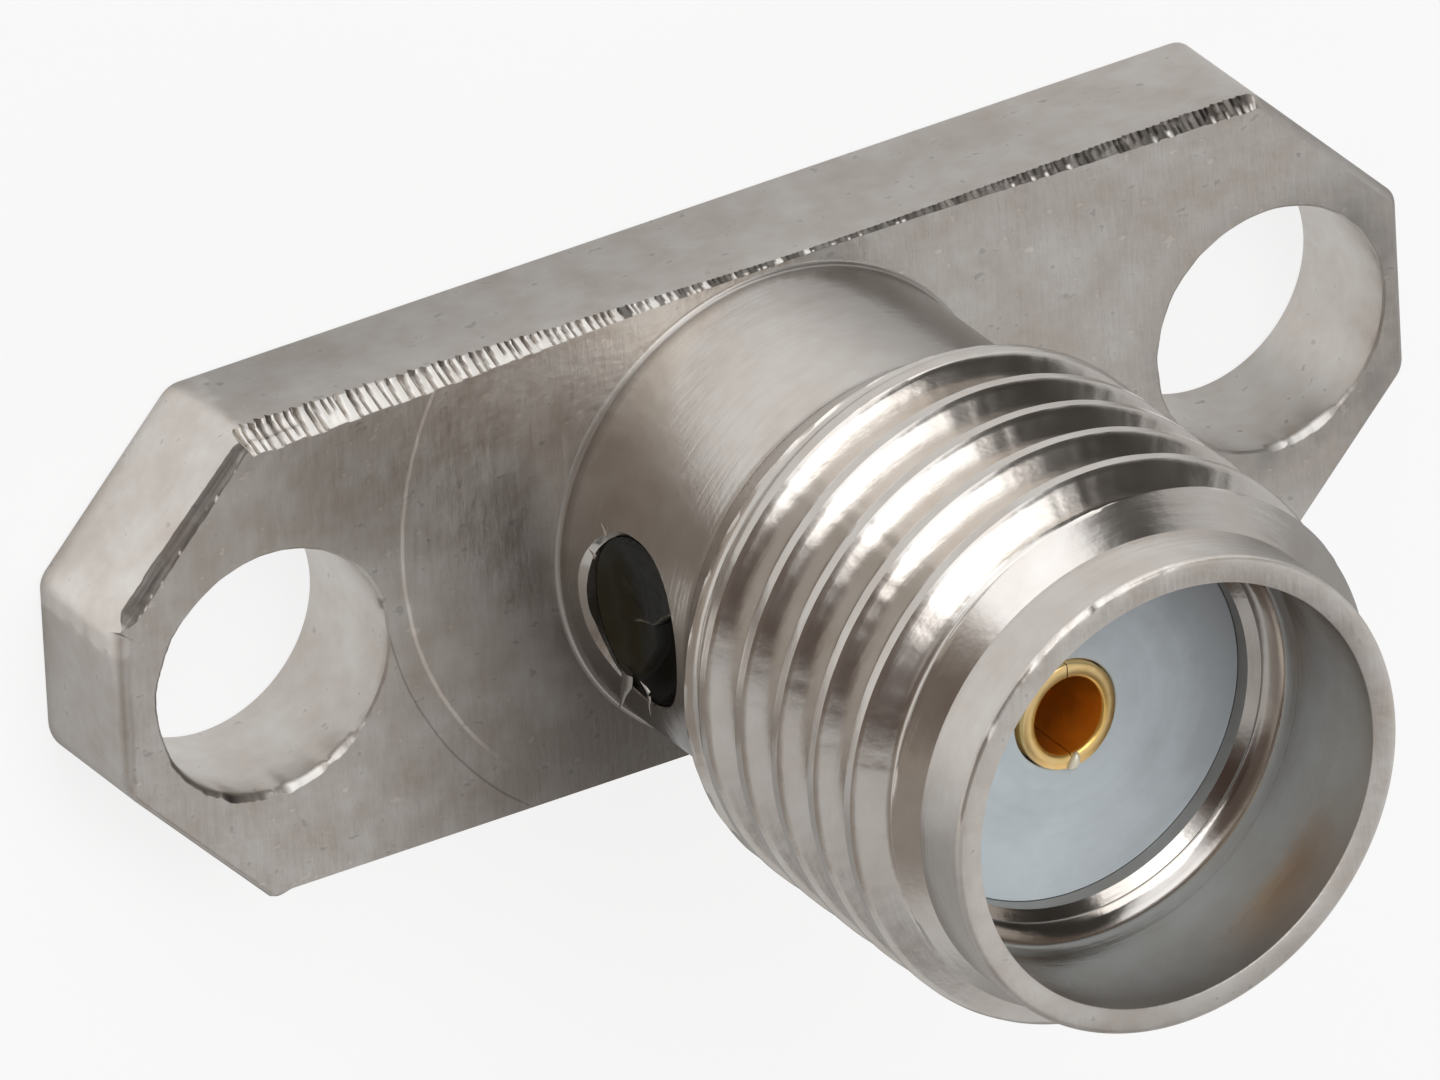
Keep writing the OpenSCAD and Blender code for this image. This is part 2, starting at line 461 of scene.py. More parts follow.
@dataclass(frozen=True)
class SideHole:
    """The hole through the neck, on the -X side."""

    radius: float = 0.92
    height: float = 2.94
    rim: float = 0.022
    wide_rim: float = 0.062
    foot_lean: float = 0.25
    rough_scale: float = 1.6
    half_columns: int = 22
    rows: int = 36
    low: float = 1.78
    high: float = 4.0
    column: int = 192

    def directions(self) -> list[float]:
        """Angles, seen from outside, at which the window's edge points lie round the hole."""
        return [math.atan2(z - self.height, s) for s, z in self.window(1.0)]

    def rim_at(self, turn: float) -> float:
        """Width of the broken rim in one direction: wide at the foot, ragged all round.

        Args:
            turn: The direction, as seen from outside.

        Returns:
            The width.
        """
        x, y = math.cos(turn) * self.rough_scale, math.sin(turn) * self.rough_scale
        ragged = 1 + 0.35 * uneven(x, y, 0.0) + 0.12 * uneven(x * 4, y * 4, 0.0)
        foot = ramp(-math.sin(turn + self.foot_lean), 0.1, 0.8)
        return mix(self.rim, self.wide_rim, foot) * max(0.3, ragged)

    def window(self, radius: float) -> Profile:
        """The edge of the window that surrounds the hole on a cylinder, unrolled.

        Args:
            radius: The cylinder's radius.

        Returns:
            Distance along the circumference and height of each point, once round.
        """
        half = self.half_columns
        step = 2 * math.pi / COLUMNS * radius
        heights = [mix(self.low, self.high, i / self.rows) for i in range(self.rows + 1)]
        points = [(i * step, self.low) for i in range(-half, half)]
        points += [(half * step, z) for z in heights[:-1]]
        points += [(-i * step, self.high) for i in range(-half, half)]
        points += [(-half * step, z) for z in reversed(heights[1:])]
        return points

    def place(self, along: float, z: float, radius: float) -> Point:
        """Puts an unrolled point back on its cylinder."""
        angle = math.pi + along / radius
        return (radius * math.cos(angle), radius * math.sin(angle), z)


def applied(piece: bpy.types.Object, modifier: bpy.types.Modifier) -> bpy.types.Mesh:
    """Takes a piece's one modifier off it.

    Args:
        piece: The piece.
        modifier: Its modifier.

    Returns:
        A plain mesh, as the modifier had made it.
    """
    depsgraph = bpy.context.evaluated_depsgraph_get()
    result = bpy.data.meshes.new_from_object(piece.evaluated_get(depsgraph))
    piece.modifiers.remove(modifier)
    return result


@dataclass
class CouplingThread:
    """The helical thread with its run-out, from the neck to the pilot.

    Every size that is a plain number with a point is an input of the node tree.
    """

    pitch: float = 0.70556
    start: float = 4.107
    lead_in: float = 1.25
    major: float = 3.1
    depth: float = 0.36
    groove: float = 0.2822
    groove_place: float = 0.4
    slope: float = 1.732
    root_round: float = 0.05
    crest_round: float = 0.045
    low: float = 4.08
    rear_top: float = 4.76
    front_low: float = 8.15
    front_top: float = 8.65
    fade_low: float = 4.72
    fade_high: float = 5.12
    neck: float = 2.65
    pilot: float = 2.67
    wobble: float = 0.012
    wobble_radius: float = 3.0
    wobble_scale: float = 2.2
    play: float = 0.004
    jag: float = 0.018
    jag_scale: float = 150.0
    seam_fade: float = 40.0
    merge: float = 0.0005
    rows: int = 30

    def tree(self, material: bpy.types.Material) -> bpy.types.GeometryNodeTree:
        """Builds the node tree that lays the thread's surface on a grid.

        Args:
            material: What its Set Material node gives the thread.

        Returns:
            The tree.
        """
        tree = bpy.data.node_groups.new("coupling_thread", "GeometryNodeTree")
        graph = Graph(tree)
        sizes = {name: value for name, value in vars(self).items() if isinstance(value, float)}
        for name, value in sizes.items():
            socket = tree.interface.new_socket(name, in_out="INPUT", socket_type="NodeSocketFloat")
            socket.default_value = value
        tree.interface.new_socket("Geometry", in_out="OUTPUT", socket_type="NodeSocketGeometry")
        source = graph.add("NodeGroupInput")
        size = SimpleNamespace(**{name: graph.signal(source, name) for name in sizes})

        turns = math.ceil((self.front_top - self.low) / self.pitch) + 2
        grid = graph.add("GeometryNodeMeshGrid", inputs={
            "Size X": 1.0, "Size Y": 1.0,
            "Vertices X": COLUMNS + 1, "Vertices Y": turns * self.rows + 1})
        across, along, _ = graph.parts(graph.made("GeometryNodeInputPosition"))
        turn = (across + 0.5) + FIRST_TURN
        phase = (along + 0.5) * float(turns) - size.lead_in
        raw = size.start + size.pitch * (phase + turn)
        z = raw.high(size.low).low(size.front_top)

        # Cross section of the groove
        jag_place = graph.join(turn * size.jag_scale, 0.0, (z - raw) + graph.maths("ROUND", phase))
        from_seam = 0.5 - abs(turn - (FIRST_TURN + 0.5))
        jagged = graph.noise(jag_place, 1.0, 1.0) * (from_seam * size.seam_fade).held()
        along_pitch = graph.maths("FRACT", (z - size.start) / size.pitch - turn)
        off = abs(along_pitch - size.groove_place) * size.pitch + jagged * size.jag
        cut = (size.groove - off) * size.slope
        cut = graph.maths("SMOOTH_MIN", cut, size.depth, size.root_round)
        cut = graph.maths("SMOOTH_MAX", cut, 0.0, size.crest_round)
        cut = cut * ((z - size.fade_low) / (size.fade_high - size.fade_low)).held()

        # Radius between the lead-in cones
        rear = (z - size.low) / (size.rear_top - size.low)
        front = (size.front_top - z) / (size.front_top - size.front_low)
        angle = turn * (2 * math.pi)
        cosine, sine = graph.maths("COSINE", angle), graph.maths("SINE", angle)
        spot = graph.join(cosine * size.wobble_radius, sine * size.wobble_radius, z)
        wobble = graph.noise(spot, size.wobble_scale, 3.0) * size.wobble
        radius = (size.major - cut - size.play) + wobble
        radius = radius.low(size.neck + (size.major - size.neck) * rear)
        radius = radius.low(size.pilot + (size.major - size.pilot) * front).low(size.major)

        place = graph.scale(graph.join(radius * cosine, radius * sine, z), MM)
        skin = graph.signal(grid, "Mesh")
        for kind, inputs in (("GeometryNodeSetPosition", {"Position": place}),
                             ("GeometryNodeMergeByDistance", {"Distance": size.merge * MM}),
                             ("GeometryNodeRealizeInstances", {}),
                             ("GeometryNodeSetMaterial", {"Material": material})):
            skin = graph.made(kind, inputs={"Geometry": skin, **inputs})
        graph.add("NodeGroupOutput", inputs={0: skin})
        return tree

    def build(self, material: bpy.types.Material) -> bpy.types.Mesh:
        """Runs the tree on an empty object.

        Args:
            material: The thread's material.

        Returns:
            The thread's surface in metres, open at both ends.
        """
        tree = self.tree(material)
        holder = bpy.data.objects.new("holder", bpy.data.meshes.new("holder"))
        bpy.context.scene.collection.objects.link(holder)
        modifier = holder.modifiers.new("nodes", "NODES")
        modifier.node_group = tree
        for item in tree.interface.items_tree:
            if item.in_out == "INPUT":
                modifier[item.identifier] = getattr(self, item.name)
        result = applied(holder, modifier)
        bpy.data.objects.remove(holder)
        return result


@dataclass(frozen=True)
class EdgeForm:
    """The broken front edge at one place of the flange's outline."""

    depth: float
    inset: float
    bulge: float = 0.0
    cut: Cut = Cut.PLAIN


@dataclass(frozen=True)
class Tooth:
    """One chatter mark: where it lies and how uneven it is."""

    start: float
    width: float
    lean: float
    gap: float
    drop: float
    turn: float


@dataclass
class Chatter:
    """The row of marks that a chattering tool leaves along an edge, from low to high."""

    low: float
    high: float
    seed: int
    widths: Run = (0.075, 0.16)
    narrow: float = 0.65
    narrow_run: Run = (-4.0, -1.0)
    dark_run: Run = (-2.4, 0.9)
    tier_run: Run = (-5.45, -5.6)
    tier_middle: float = 0.54
    gap_depth: float = 0.045
    step_depth: float = 0.022
    bright_tone: float = 0.8
    speck_tone: float = 0.85
    dark_tone: float = -0.92
    teeth: list[Tooth] = field(default_factory=list)

    def __post_init__(self) -> None:
        """Lays the marks side by side."""
        chance = random.Random(self.seed)
        x = self.low
        while x < self.high:
            width = chance.uniform(*self.widths) * mix(1.0, self.narrow, ramp(x, *self.narrow_run))
            self.teeth.append(Tooth(x, width, *(chance.random() for _ in range(4))))
            x += width

    def at(self, x: float) -> tuple[Tooth, float]:
        """Finds the mark at a place of the edge.

        Args:
            x: The place.

        Returns:
            The mark, and how far along it the place is.
        """
        after = bisect.bisect_right(self.teeth, x, key=lambda tooth: tooth.start)
        tooth = self.teeth[max(0, after - 1)]
        return tooth, (x - tooth.start) / tooth.width

    def mark(self, x: float, across: float) -> tuple[float, float]:
        """The marked surface at one place.

        Args:
            x: Place along the edge.
            across: Place across the cut, 0 at the side face and 1 at the front face.

        Returns:
            How far it sinks and its tone.
        """
        tooth, share = self.at(x)
        gap = mix(0.5, 0.17, across) * (0.55 + 0.9 * tooth.gap)
        inside = 1 - ramp(abs(share - gap / 2), gap * 0.2, gap * 0.62)
        tiered = ramp(x, *self.tier_run)
        low_tier = ramp(across, self.tier_middle + 0.06, self.tier_middle - 0.06) * tiered
        dig = (self.gap_depth * inside + self.step_depth * tooth.lean * share
               + self.step_depth * low_tier)
        # The tone paints the marks: bright facets and specks are painted glints, the gaps between
        # teeth are painted shade, and towards +X the teeth are darker.
        if tooth.turn < ramp(x, *self.dark_run):
            speck = ramp(across, 0.5, 0.75) * (tooth.lean > 0.72)
            speck *= 1 - ramp(abs(share - 0.5), 0.1, 0.35)
            tone = self.dark_tone + 0.32 * tooth.drop - 0.1 * inside
            return dig * 0.6, mix(tone, self.speck_tone, speck)
        edge = 0.55 * (1 - ramp(abs(across - self.tier_middle), 0.02, 0.07)) * tiered
        shade = 0.45 * tooth.drop * (1 - across)
        return dig, self.bright_tone - shade - mix(1.1, 0.75, across) * inside - edge


@dataclass(frozen=True)
class Wear:
    """A worn place of a screw hole's front rim: where it is, in degrees, how worn, and its tone,
    painted shade where dark and a painted glint where bright.
    """

    side: int
    centre: float
    half: float
    width: float
    shade: float


@dataclass
class Flange:
    """The eight-sided flange with its hand-cut front edges."""

    left: float = -7.95
    right: float = 7.7699
    half_width: float = 2.77
    thickness: float = 1.58
    cut_l: float = 1.66
    cut_w: float = 1.74
    worn_cut_l: float = 1.8
    worn_cut_w: float = 1.93
    corner_r: float = 0.3
    worn_corner_r: float = 0.5
    hole_x: float = 6.12
    hole_r: float = 1.38
    hole_break: float = 0.04
    hole_points: int = 192
    back_break: float = 0.03
    edge_break: float = 0.1
    worn_break: float = 0.15
    slim_break: float = 0.05
    lip: float = 0.012
    left_run: Run = (-0.8, 6.6)
    right_run: Run = (0.6, 6.2)
    long_depths: tuple[float, float, float] = (0.045, 0.31, 0.11)
    long_insets: tuple[float, float, float] = (0.02, 0.16, 0.1)
    short_end: float = -7.87
    short_fade: float = 0.09
    short_depths: Run = (0.13, 0.17)
    short_insets: Run = (0.07, 0.085)
    back_half: float = 7.0
    back_depths: Run = (0.2, 0.4)
    back_insets: Run = (0.06, 0.2)
    full_chatter: float = 0.16
    drawn_depth: float = 0.008
    drawn_tone: float = -0.78
    neck_reach: float = 2.716
    coarse_step: float = 0.5
    fine_steps: tuple[tuple[int, float], ...] = ((1, 0.02), (2, 0.03), (5, 0.1))
    corner_steps: int = 8
    layers: tuple[float, ...] = (0.0, 0.12, 0.3, 0.46, 0.54, 0.62, 0.8, 0.93, 1.0)
    seed: int = 7
    wears: tuple[Wear, ...] = (
        Wear(-1, 160, 26, 0.02, -0.6), Wear(-1, 226, 30, 0.02, -0.5),
        Wear(-1, 254, 14, 0.035, -0.55), Wear(-1, 282, 13, 0.045, 0.6),
        Wear(-1, 305, 9, 0.03, 0.35), Wear(1, 284, 20, 0.04, 0.6), Wear(1, 140, 20, 0.01, -0.4),
    )

    def corners(self) -> list[Vector]:
        """Finds the eight corners.

        Returns:
            Their places, counter-clockwise from the +X end.
        """
        w, cl, cw = self.half_width, self.cut_l, self.cut_w
        points = [(self.right, w - cw), (self.right - cl, w), (self.left + cl, w),
                  (self.left, w - cw), (self.left, self.worn_cut_w - w),
                  (self.left + self.worn_cut_l, -w), (self.right - cl, -w), (self.right, cw - w)]
        return [Vector(point) for point in points]

    def outline(self) -> list[tuple[Vector, Vector]]:
        """The outline with rounded corners.

        Returns:
            Place and outward direction of each point, counter-clockwise.
        """
        corners = self.corners()
        radii = [self.worn_corner_r if i in (4, 5) else self.corner_r for i in range(8)]
        steps = dict(self.fine_steps)
        rows: list[tuple[Vector, Vector]] = []
        for i, corner in enumerate(corners):
            before, after = corners[i - 1], corners[(i + 1) % 8]
            back, ahead = (before - corner).normalized(), (after - corner).normalized()
            half = back.angle(ahead) / 2
            centre = corner + (back + ahead).normalized() * radii[i] / math.sin(half)
            first = math.atan2(back.x, -back.y)
            turn = math.pi - 2 * half
            for k in range(self.corner_steps + 1):
                angle = first + turn * k / self.corner_steps
                out = Vector((math.cos(angle), math.sin(angle)))
                rows.append((centre + out * radii[i], out))
            start = corner + ahead * radii[i] / math.tan(half)
            run = (after - start).length - radii[(i + 1) % 8] / math.tan(half)
            count = max(1, round(run / steps.get(i, self.coarse_step)))
            out = Vector((ahead.y, -ahead.x))
            rows += [(start + ahead * run * k / count, out) for k in range(1, count)]
        return rows

    def long_edge(self, x: float) -> EdgeForm:
        """The tool's cut along the +Y edge, deep at -X and narrow in the middle.

        Args:
            x: Place along the flange.

        Returns:
            The cut's form there.
        """
        left, right = ramp(-x, *self.left_run), ramp(x, *self.right_run)
        depth, at_left, at_right = self.long_depths
        inset, wide_left, wide_right = self.long_insets
        return EdgeForm(depth + at_left * left ** 0.8 + at_right * right,
                        inset + wide_left * left ** 1.1 + wide_right * right, 0.0, Cut.CHATTER)

    def short_edge(self, x: float) -> EdgeForm:
        """The cut on the corner edge between +Y and -X, which stops short of the end.

        Args:
            x: Place along the flange.

        Returns:
            The cut's form there.
        """
        down = ramp(x, -6.3, -7.6)
        end = math.sqrt(max(0.0, min(1.0, (x - self.short_end) / self.short_fade)))
        return EdgeForm(mix(*self.short_depths, down) * end + 0.01,
                        mix(*self.short_insets, down) * end + 0.008, 0.0, Cut.DRAWN)

    def back_edge(self, x: float) -> EdgeForm:
        """The cut along the -Y edge."""
        left = (self.back_half - x) / (2 * self.back_half)
        return EdgeForm(mix(*self.back_depths, left), mix(*self.back_insets, left), 0.6)

    def edge_form(self, place: Vector, out: Vector) -> EdgeForm:
        """How the front edge is broken at a place of the outline.

        Args:
            place: The outline's point.
            out: Its outward direction.

        Returns:
            The break's sizes there.
        """
        corners = self.corners()
        worn = ramp(place.x, -6.0, -6.6) * ramp(out.y, -0.62, -0.2)
        slim = ramp(out.x, -0.3, -0.6) * ramp(out.y, -0.2, -0.62)
        worn_size = self.worn_break * (1 + 0.5 * uneven(place.x * 2.0, place.y * 2.6, 5.0))
        size = mix(mix(self.edge_break, worn_size, worn), self.slim_break, slim)
        best = EdgeForm(size * 1.2, size, mix(0.3, 1.0, max(worn, slim)))
        for first, cut in ((1, self.long_edge), (2, self.short_edge), (5, self.back_edge)):
            along = (corners[first + 1] - corners[first]).normalized()
            normal = Vector((along.y, -along.x))
            below = normal.dot(corners[first] - place)
            facing = out.dot(normal)
            form = cut(place.x)
            near = ramp(facing, 0.9, 0.995)
            share = max(0.0, 1 - below / form.inset) * (facing > 0.3)
            inset = (form.inset - below) / facing if share else 0.0
            best = EdgeForm(max(form.depth * share, best.depth * (1 - near)),
                            max(inset, best.inset * (1 - near)), best.bulge * (1 - near),
                            form.cut if near > 0.5 else best.cut)
        return best

    def surface(self, form: EdgeForm, place: Vector, across: float,
                chatter: Chatter) -> tuple[float, float]:
        """The tool's marks on a broken edge.

        Args:
            form: The edge's form there.
            place: The outline's point.
            across: Place across the cut, 0 at the side face and 1 at the front face.
            chatter: The row of chatter marks.

        Returns:
            How far the surface sinks and its tone.
        """
        between = 0 < across < 1
        if form.cut is Cut.CHATTER:
            dig, tone = chatter.mark(place.x, across)
            return dig * min(1.0, form.depth / self.full_chatter) * between, tone
        if form.cut is Cut.DRAWN:
            streak = uneven(place.x * 2.2, across * 9.0, 3.1)
            fleck = ramp(uneven(place.x * 17.0, across * 3.0, 8.7), 0.4, 0.5)
            tone = self.drawn_tone + 0.3 * streak + 1.6 * fleck * ramp(across, 0.75, 0.95)
            return self.drawn_depth * streak * between, tone * ramp(form.depth, 0.02, 0.06)
        return 0.0, 0.0

    def ragged(self, form: EdgeForm, x: float, chatter: Chatter) -> tuple[float, float]:
        """How much deeper and wider than its form a cut is at one place.

        Args:
            form: The edge's form there.
            x: Place along the flange.
            chatter: The row of chatter marks.

        Returns:
            Factors for its depth and its inset.
        """
        if form.cut is Cut.CHATTER:
            tooth, share = chatter.at(x)
            notch = 1 - ramp(share, 0.25, 0.45)
            return 0.9 + 0.14 * tooth.drop + 0.13 * notch, 0.9 + 0.2 * tooth.lean
        if form.cut is Cut.DRAWN:
            wide, deep = (uneven(x * 4.0, at, 0.0) + uneven(x * 14.0, at, 3.0) for at in (1.3, 6.1))
            return 1.0 + 0.07 * deep, 1.0 + 0.14 * wide
        return 1.0, 1.0

    def room(self, place: Vector, out: Vector) -> float:
        """How far a cut may reach inwards from a point before it meets the neck's fillet."""
        reach = self.neck_reach ** 2 - (place.x * out.y - place.y * out.x) ** 2
        return place.dot(out) - math.sqrt(max(0.0, reach))

    def add_to(self, shell: Shell, neck_foot: Row, bore_foot: Row) -> None:
        """Adds the flange's skin.

        Args:
            shell: The body's skin.
            neck_foot: The ring where the neck's fillet meets the front face.
            bore_foot: The ring where the bore meets the mounting face.
        """
        outline = self.outline()
        chatter = Chatter(self.left, self.right, self.seed)
        cuts = []
        for place, out in outline:
            form = self.edge_form(place, out)
            deeper, wider = self.ragged(form, place.x, chatter)
            cuts.append((place, out, form, form.depth * deeper, form.inset * wider,
                         self.room(place, out)))
        top = self.thickness
        rings = [shell.loop((*(p - o * self.back_break), 0.0) for p, o in outline),
                 shell.loop((*p, self.back_break) for p, _ in outline),
                 shell.loop((*p, top - depth - self.lip) for p, _, _, depth, _, _ in cuts)]
        for share in self.layers:
            row, tones = [], []
            angle = share * math.pi / 2
            for p, o, form, depth, width, room in cuts:
                width = min(width, room * 0.8)
                inset = width * mix(share, 1 - math.cos(angle), form.bulge)
                drop = depth * (1 - mix(share, math.sin(angle), form.bulge))
                dig, tone = self.surface(form, p, share, chatter)
                slope = math.hypot(depth, width)
                row.append((*(p - o * min(inset + dig * depth / slope, room)),
                            top - drop - dig * width / slope))
                tones.append(tone)
            rings.append(shell.loop(row, tones))
        rings.append(shell.loop((*(p - o * min(width + self.lip, room)), top)
                                for p, o, _, _, width, room in cuts))
        shell.bridge(*rings)
        fronts, backs = [rings[-1], neck_foot], [rings[0], bore_foot]
        for side in (-1, 1):
            back, front = self.screw_hole(shell, side)
            backs.append(back)
            fronts.append(front)
        shell.fill(fronts, (0, 0, 1))
        shell.fill(backs, (0, 0, -1))

    def rim_wear(self, angle: float, side: int) -> tuple[float, float]:
        """The worn places of a screw hole's front rim.

        Args:
            angle: Direction from the hole's centre, in radians.
            side: -1 for the hole at -X.

        Returns:
            How much wider the rim is broken there, and its tone.
        """
        wide, tone = 0.0, 0.0
        rough = 0.7 + 0.6 * uneven(angle * 7.0, side * 3.0, 1.0)
        rough += 0.8 * uneven(angle * 24.0, side * 3.0, 5.0)
        for wear in self.wears:
            if wear.side == side:
                away = abs((math.degrees(angle) - wear.centre + 180) % 360 - 180)
                near = ramp(away, wear.half, wear.half * 0.6)
                wide += wear.width * near * rough
                # The tone is painted shade where dark and a painted glint where bright.
                tone += wear.shade * near * min(1.0, rough + 0.3)
        return wide, tone

    def screw_hole(self, shell: Shell, side: int) -> tuple[Row, Row]:
        """Adds the wall of one screw hole, with a slightly uneven rim.

        Args:
            shell: The body's skin.
            side: -1 for the hole at -X.

        Returns:
            Its back rim and its front rim.
        """
        b, top = self.hole_break, self.thickness
        # Growth and height of each row, and its share of the wear across and down
        levels = ((b, 0.0, 0, 0), (0.0, b, 0, 0), (0.0, top / 2, 0, 0), (0.0, top - 2.5 * b, 0, 0),
                  (b * 0.3, top - b * 0.6, 0.5, 0.7), (b, top, 1, 0), (b + 0.014, top, 1, 0))
        loops = []
        for index, (grow, z, wider, deeper) in enumerate(levels):
            row, tones = [], []
            for a in circle(self.hole_points):
                wide, tone = self.rim_wear(a, side)
                ragged = 0.012 * uneven(math.cos(a) * 6, math.sin(a) * 6, side * 9.0) * (index > 3)
                r = self.hole_r + grow + ragged + wide * wider
                x = side * self.hole_x + r * math.cos(a)
                row.append((x, r * math.sin(a), z - deeper * wide))
                tones.append(tone * (3 < index < 6))
            loops.append(shell.loop(row, tones))
        shell.bridge(*loops)
        return loops[0], loops[-1]


@dataclass
class Barrel:
    """The turned barrel: neck with its side hole, pilot, mouth, seat and bore."""

    flange_top: float = 1.58
    neck: float = 2.65
    fillet: float = 0.06
    fillet_steps: int = 6
    pilot: float = 2.67
    front: float = 9.37
    mouth: float = 2.38
    seat: float = 7.37
    seat_edge: float = 2.125
    bore: float = 2.11
    back_break: float = 0.03
    rim_break: float = 0.035
    mouth_break: float = 0.02
    foot_runs: Profile = (
        (33, 0.06), (34, 0.08), (75, 0.014), (8, 0.014), (36, 0.08), (40, 0.07), (46, 0.05),
        (56, 0.03), (68, 0.03), (78, 0.04), (85, 0.06), (88, 0.08))
    # Angle, half width and tone of each chip: bright tones are painted glints, dark ones painted
    # shade.
    chips: tuple[tuple[float, float, float], ...] = (
        (89.4, 0.3, 0.9), (95.5, 4.5, 0.35), (101.5, 1.0, 0.8), (105.0, 1.6, 0.6),
        (109.9, 0.4, -0.8), (113.0, 0.5, 0.8), (116.0, 0.3, 0.5), (118.4, 0.4, 0.8),
        (122.9, 0.3, 0.7), (127.0, 0.8, 0.8), (131.0, 1.2, -0.5), (138.0, 5.0, -0.7),
        (145.4, 0.4, 0.8), (150.0, 3.0, -0.6), (160.0, 6.0, -0.4))
    chip_fade: float = 0.9
    chip_depth: float = 0.018
    strong_chip: float = 0.75
    chip_reach: float = 0.01
    wall_shares: tuple[float, ...] = (0.07, 0.17, 0.32, 0.52, 0.75)
    side_hole: SideHole = field(default_factory=SideHole)

    def fillet_profile(self) -> Profile:
        """The fillet from the flange's face up to the neck.

        Returns:
            Its profile.
        """
        angles = [math.pi / 2 * i / self.fillet_steps for i in range(self.fillet_steps + 1)]
        r = self.fillet
        return [(self.neck + r * (1 - math.sin(a)), self.flange_top + r * (1 - math.cos(a)))
                for a in angles]

    def mouth_profile(self) -> Profile:
        """The front ring, the mouth and its foot, from the pilot down to the bore.

        Returns:
            Their profile.
        """
        b, e, z, m, p = self.rim_break, self.mouth_break, self.front, self.mouth, self.pilot
        return [(p, z - b - 0.04), (p, z - b), (p - b * 0.3, z - b * 0.3), (p - b, z),
                (p - b - 0.03, z), (m + e, z), (m + e * 0.3, z - e * 0.3), (m, z - e),
                *self.mouth_foot(), (self.bore, self.seat - 0.06)]

    def mouth_foot(self) -> Profile:
        """The mouth's sloped foot, with a fine step in it.

        Returns:
            Its profile from the mouth's wall down to the seat.
        """
        r, z = self.seat_edge, self.seat
        points = [(r, z)]
        for slope, run in self.foot_runs:
            r += run * math.cos(math.radians(slope))
            z += run * math.sin(math.radians(slope))
            points.append((r, z))
        return points[::-1]

    def nick(self, shell: Shell) -> None:
        """Chips the front ring's outer edge: dents whose tones paint bright specks as glints, then
        a thin dark line as painted shade.

        Args:
            shell: The body's skin.
        """
        b, reach = self.rim_break, self.rim_break + self.chip_reach
        for vert in shell.mesh.verts:
            x, y, z = vert.co
            r = math.hypot(x, y)
            if z < self.front - reach or r < self.pilot - reach:
                continue
            angle = math.degrees(math.atan2(y, x))
            middle = z > self.front - b * 0.5 and r > self.pilot - b * 0.5
            tone = 0.0
            for centre, half, shade in self.chips:
                near = ramp(abs(angle - centre), half + self.chip_fade, half)
                tone += shade * near * (middle or abs(shade) > self.strong_chip)
            vert[shell.tone] = tone
            vert.co.z -= self.chip_depth * abs(tone) * (z > self.front - 0.02)

    def drilled_wall(self, shell: Shell, radius: float, hole_edge: Row, low: Row,
                     high: Row) -> None:
        """Adds the stretch of a cylinder that the side hole goes through.

        Args:
            shell: The body's skin.
            radius: The cylinder's radius.
            hole_edge: The hole's edge on it, one vertex for each point of the window.
            low: The cylinder's ring at the window's foot.
            high: The cylinder's ring at its head.
        """
        hole = self.side_hole
        edge = hole.window(radius)
        inner = [(radius * (math.atan2(v.co.y, v.co.x) % (2 * math.pi) - math.pi), v.co.z)
                 for v in hole_edge]
        first, count = hole.column - hole.half_columns, 2 * hole.half_columns
        last = first + count
        side_right = [low[last]] + shell.loop(
            hole.place(s, z, radius) for s, z in edge[count + 1:count + hole.rows])
        side_left = [high[first]] + shell.loop(
            hole.place(s, z, radius) for s, z in edge[2 * count + hole.rows + 1:])
        rim = low[first:last] + side_right + high[last:first:-1] + side_left
        rows = [shell.loop(hole.place(mix(a[0], b[0], share), mix(a[1], b[1], share), radius)
                           for a, b in zip(inner, edge))
                for share in self.wall_shares]
        shell.bridge(hole_edge, *rows, rim)
        for i in range(COLUMNS):
            j = (i + 1) % COLUMNS
            if i < first or i >= last:
                left = side_left[:0:-1] if j == first else []
                right = side_right[:0:-1] if i == last else []
                shell.mesh.faces.new([low[i], low[j], *left, high[j], high[i], *right])

    def add_to(self, shell: Shell, thread: CouplingThread) -> tuple[Row, Row]:
        """Adds the barrel's skin apart from the thread.

        Args:
            shell: The body's skin.
            thread: The thread that the neck and the pilot run up to.

        Returns:
            The ring on the flange's front face and the ring on the mounting face.
        """
        hole = self.side_hole
        foot, neck_low = shell.revolve(self.fillet_profile())
        neck_rings = shell.ring(self.neck, hole.low), shell.ring(self.neck, hole.high)
        shell.bridge(neck_low, neck_rings[0])
        shell.bridge(neck_rings[1], shell.ring(self.neck, thread.low))
        pilot_low = shell.ring(self.pilot, thread.front_top)
        pilot_high, bore_top = shell.revolve(self.mouth_profile())
        shell.bridge(pilot_low, pilot_high)
        bore_high, bore_low = shell.ring(self.bore, hole.high), shell.ring(self.bore, hole.low)
        shell.bridge(bore_top, bore_high)
        back = shell.ring(self.bore, self.back_break)
        back_rim = shell.ring(self.bore + self.back_break, 0.0)
        shell.bridge(bore_low, back, back_rim)
        self.add_side_hole(shell, neck_rings, (bore_low, bore_high))
        return foot, back_rim

    def add_side_hole(self, shell: Shell, neck_rings: tuple[Row, Row],
                      bore_rings: tuple[Row, Row]) -> None:
        """Adds the side hole's rim and wall, and the drilled stretches of neck and bore.

        Args:
            shell: The body's skin.
            neck_rings: The neck's rings under and over the hole.
            bore_rings: The bore's rings under and over the hole.
        """
        hole = self.side_hole
        rows = []
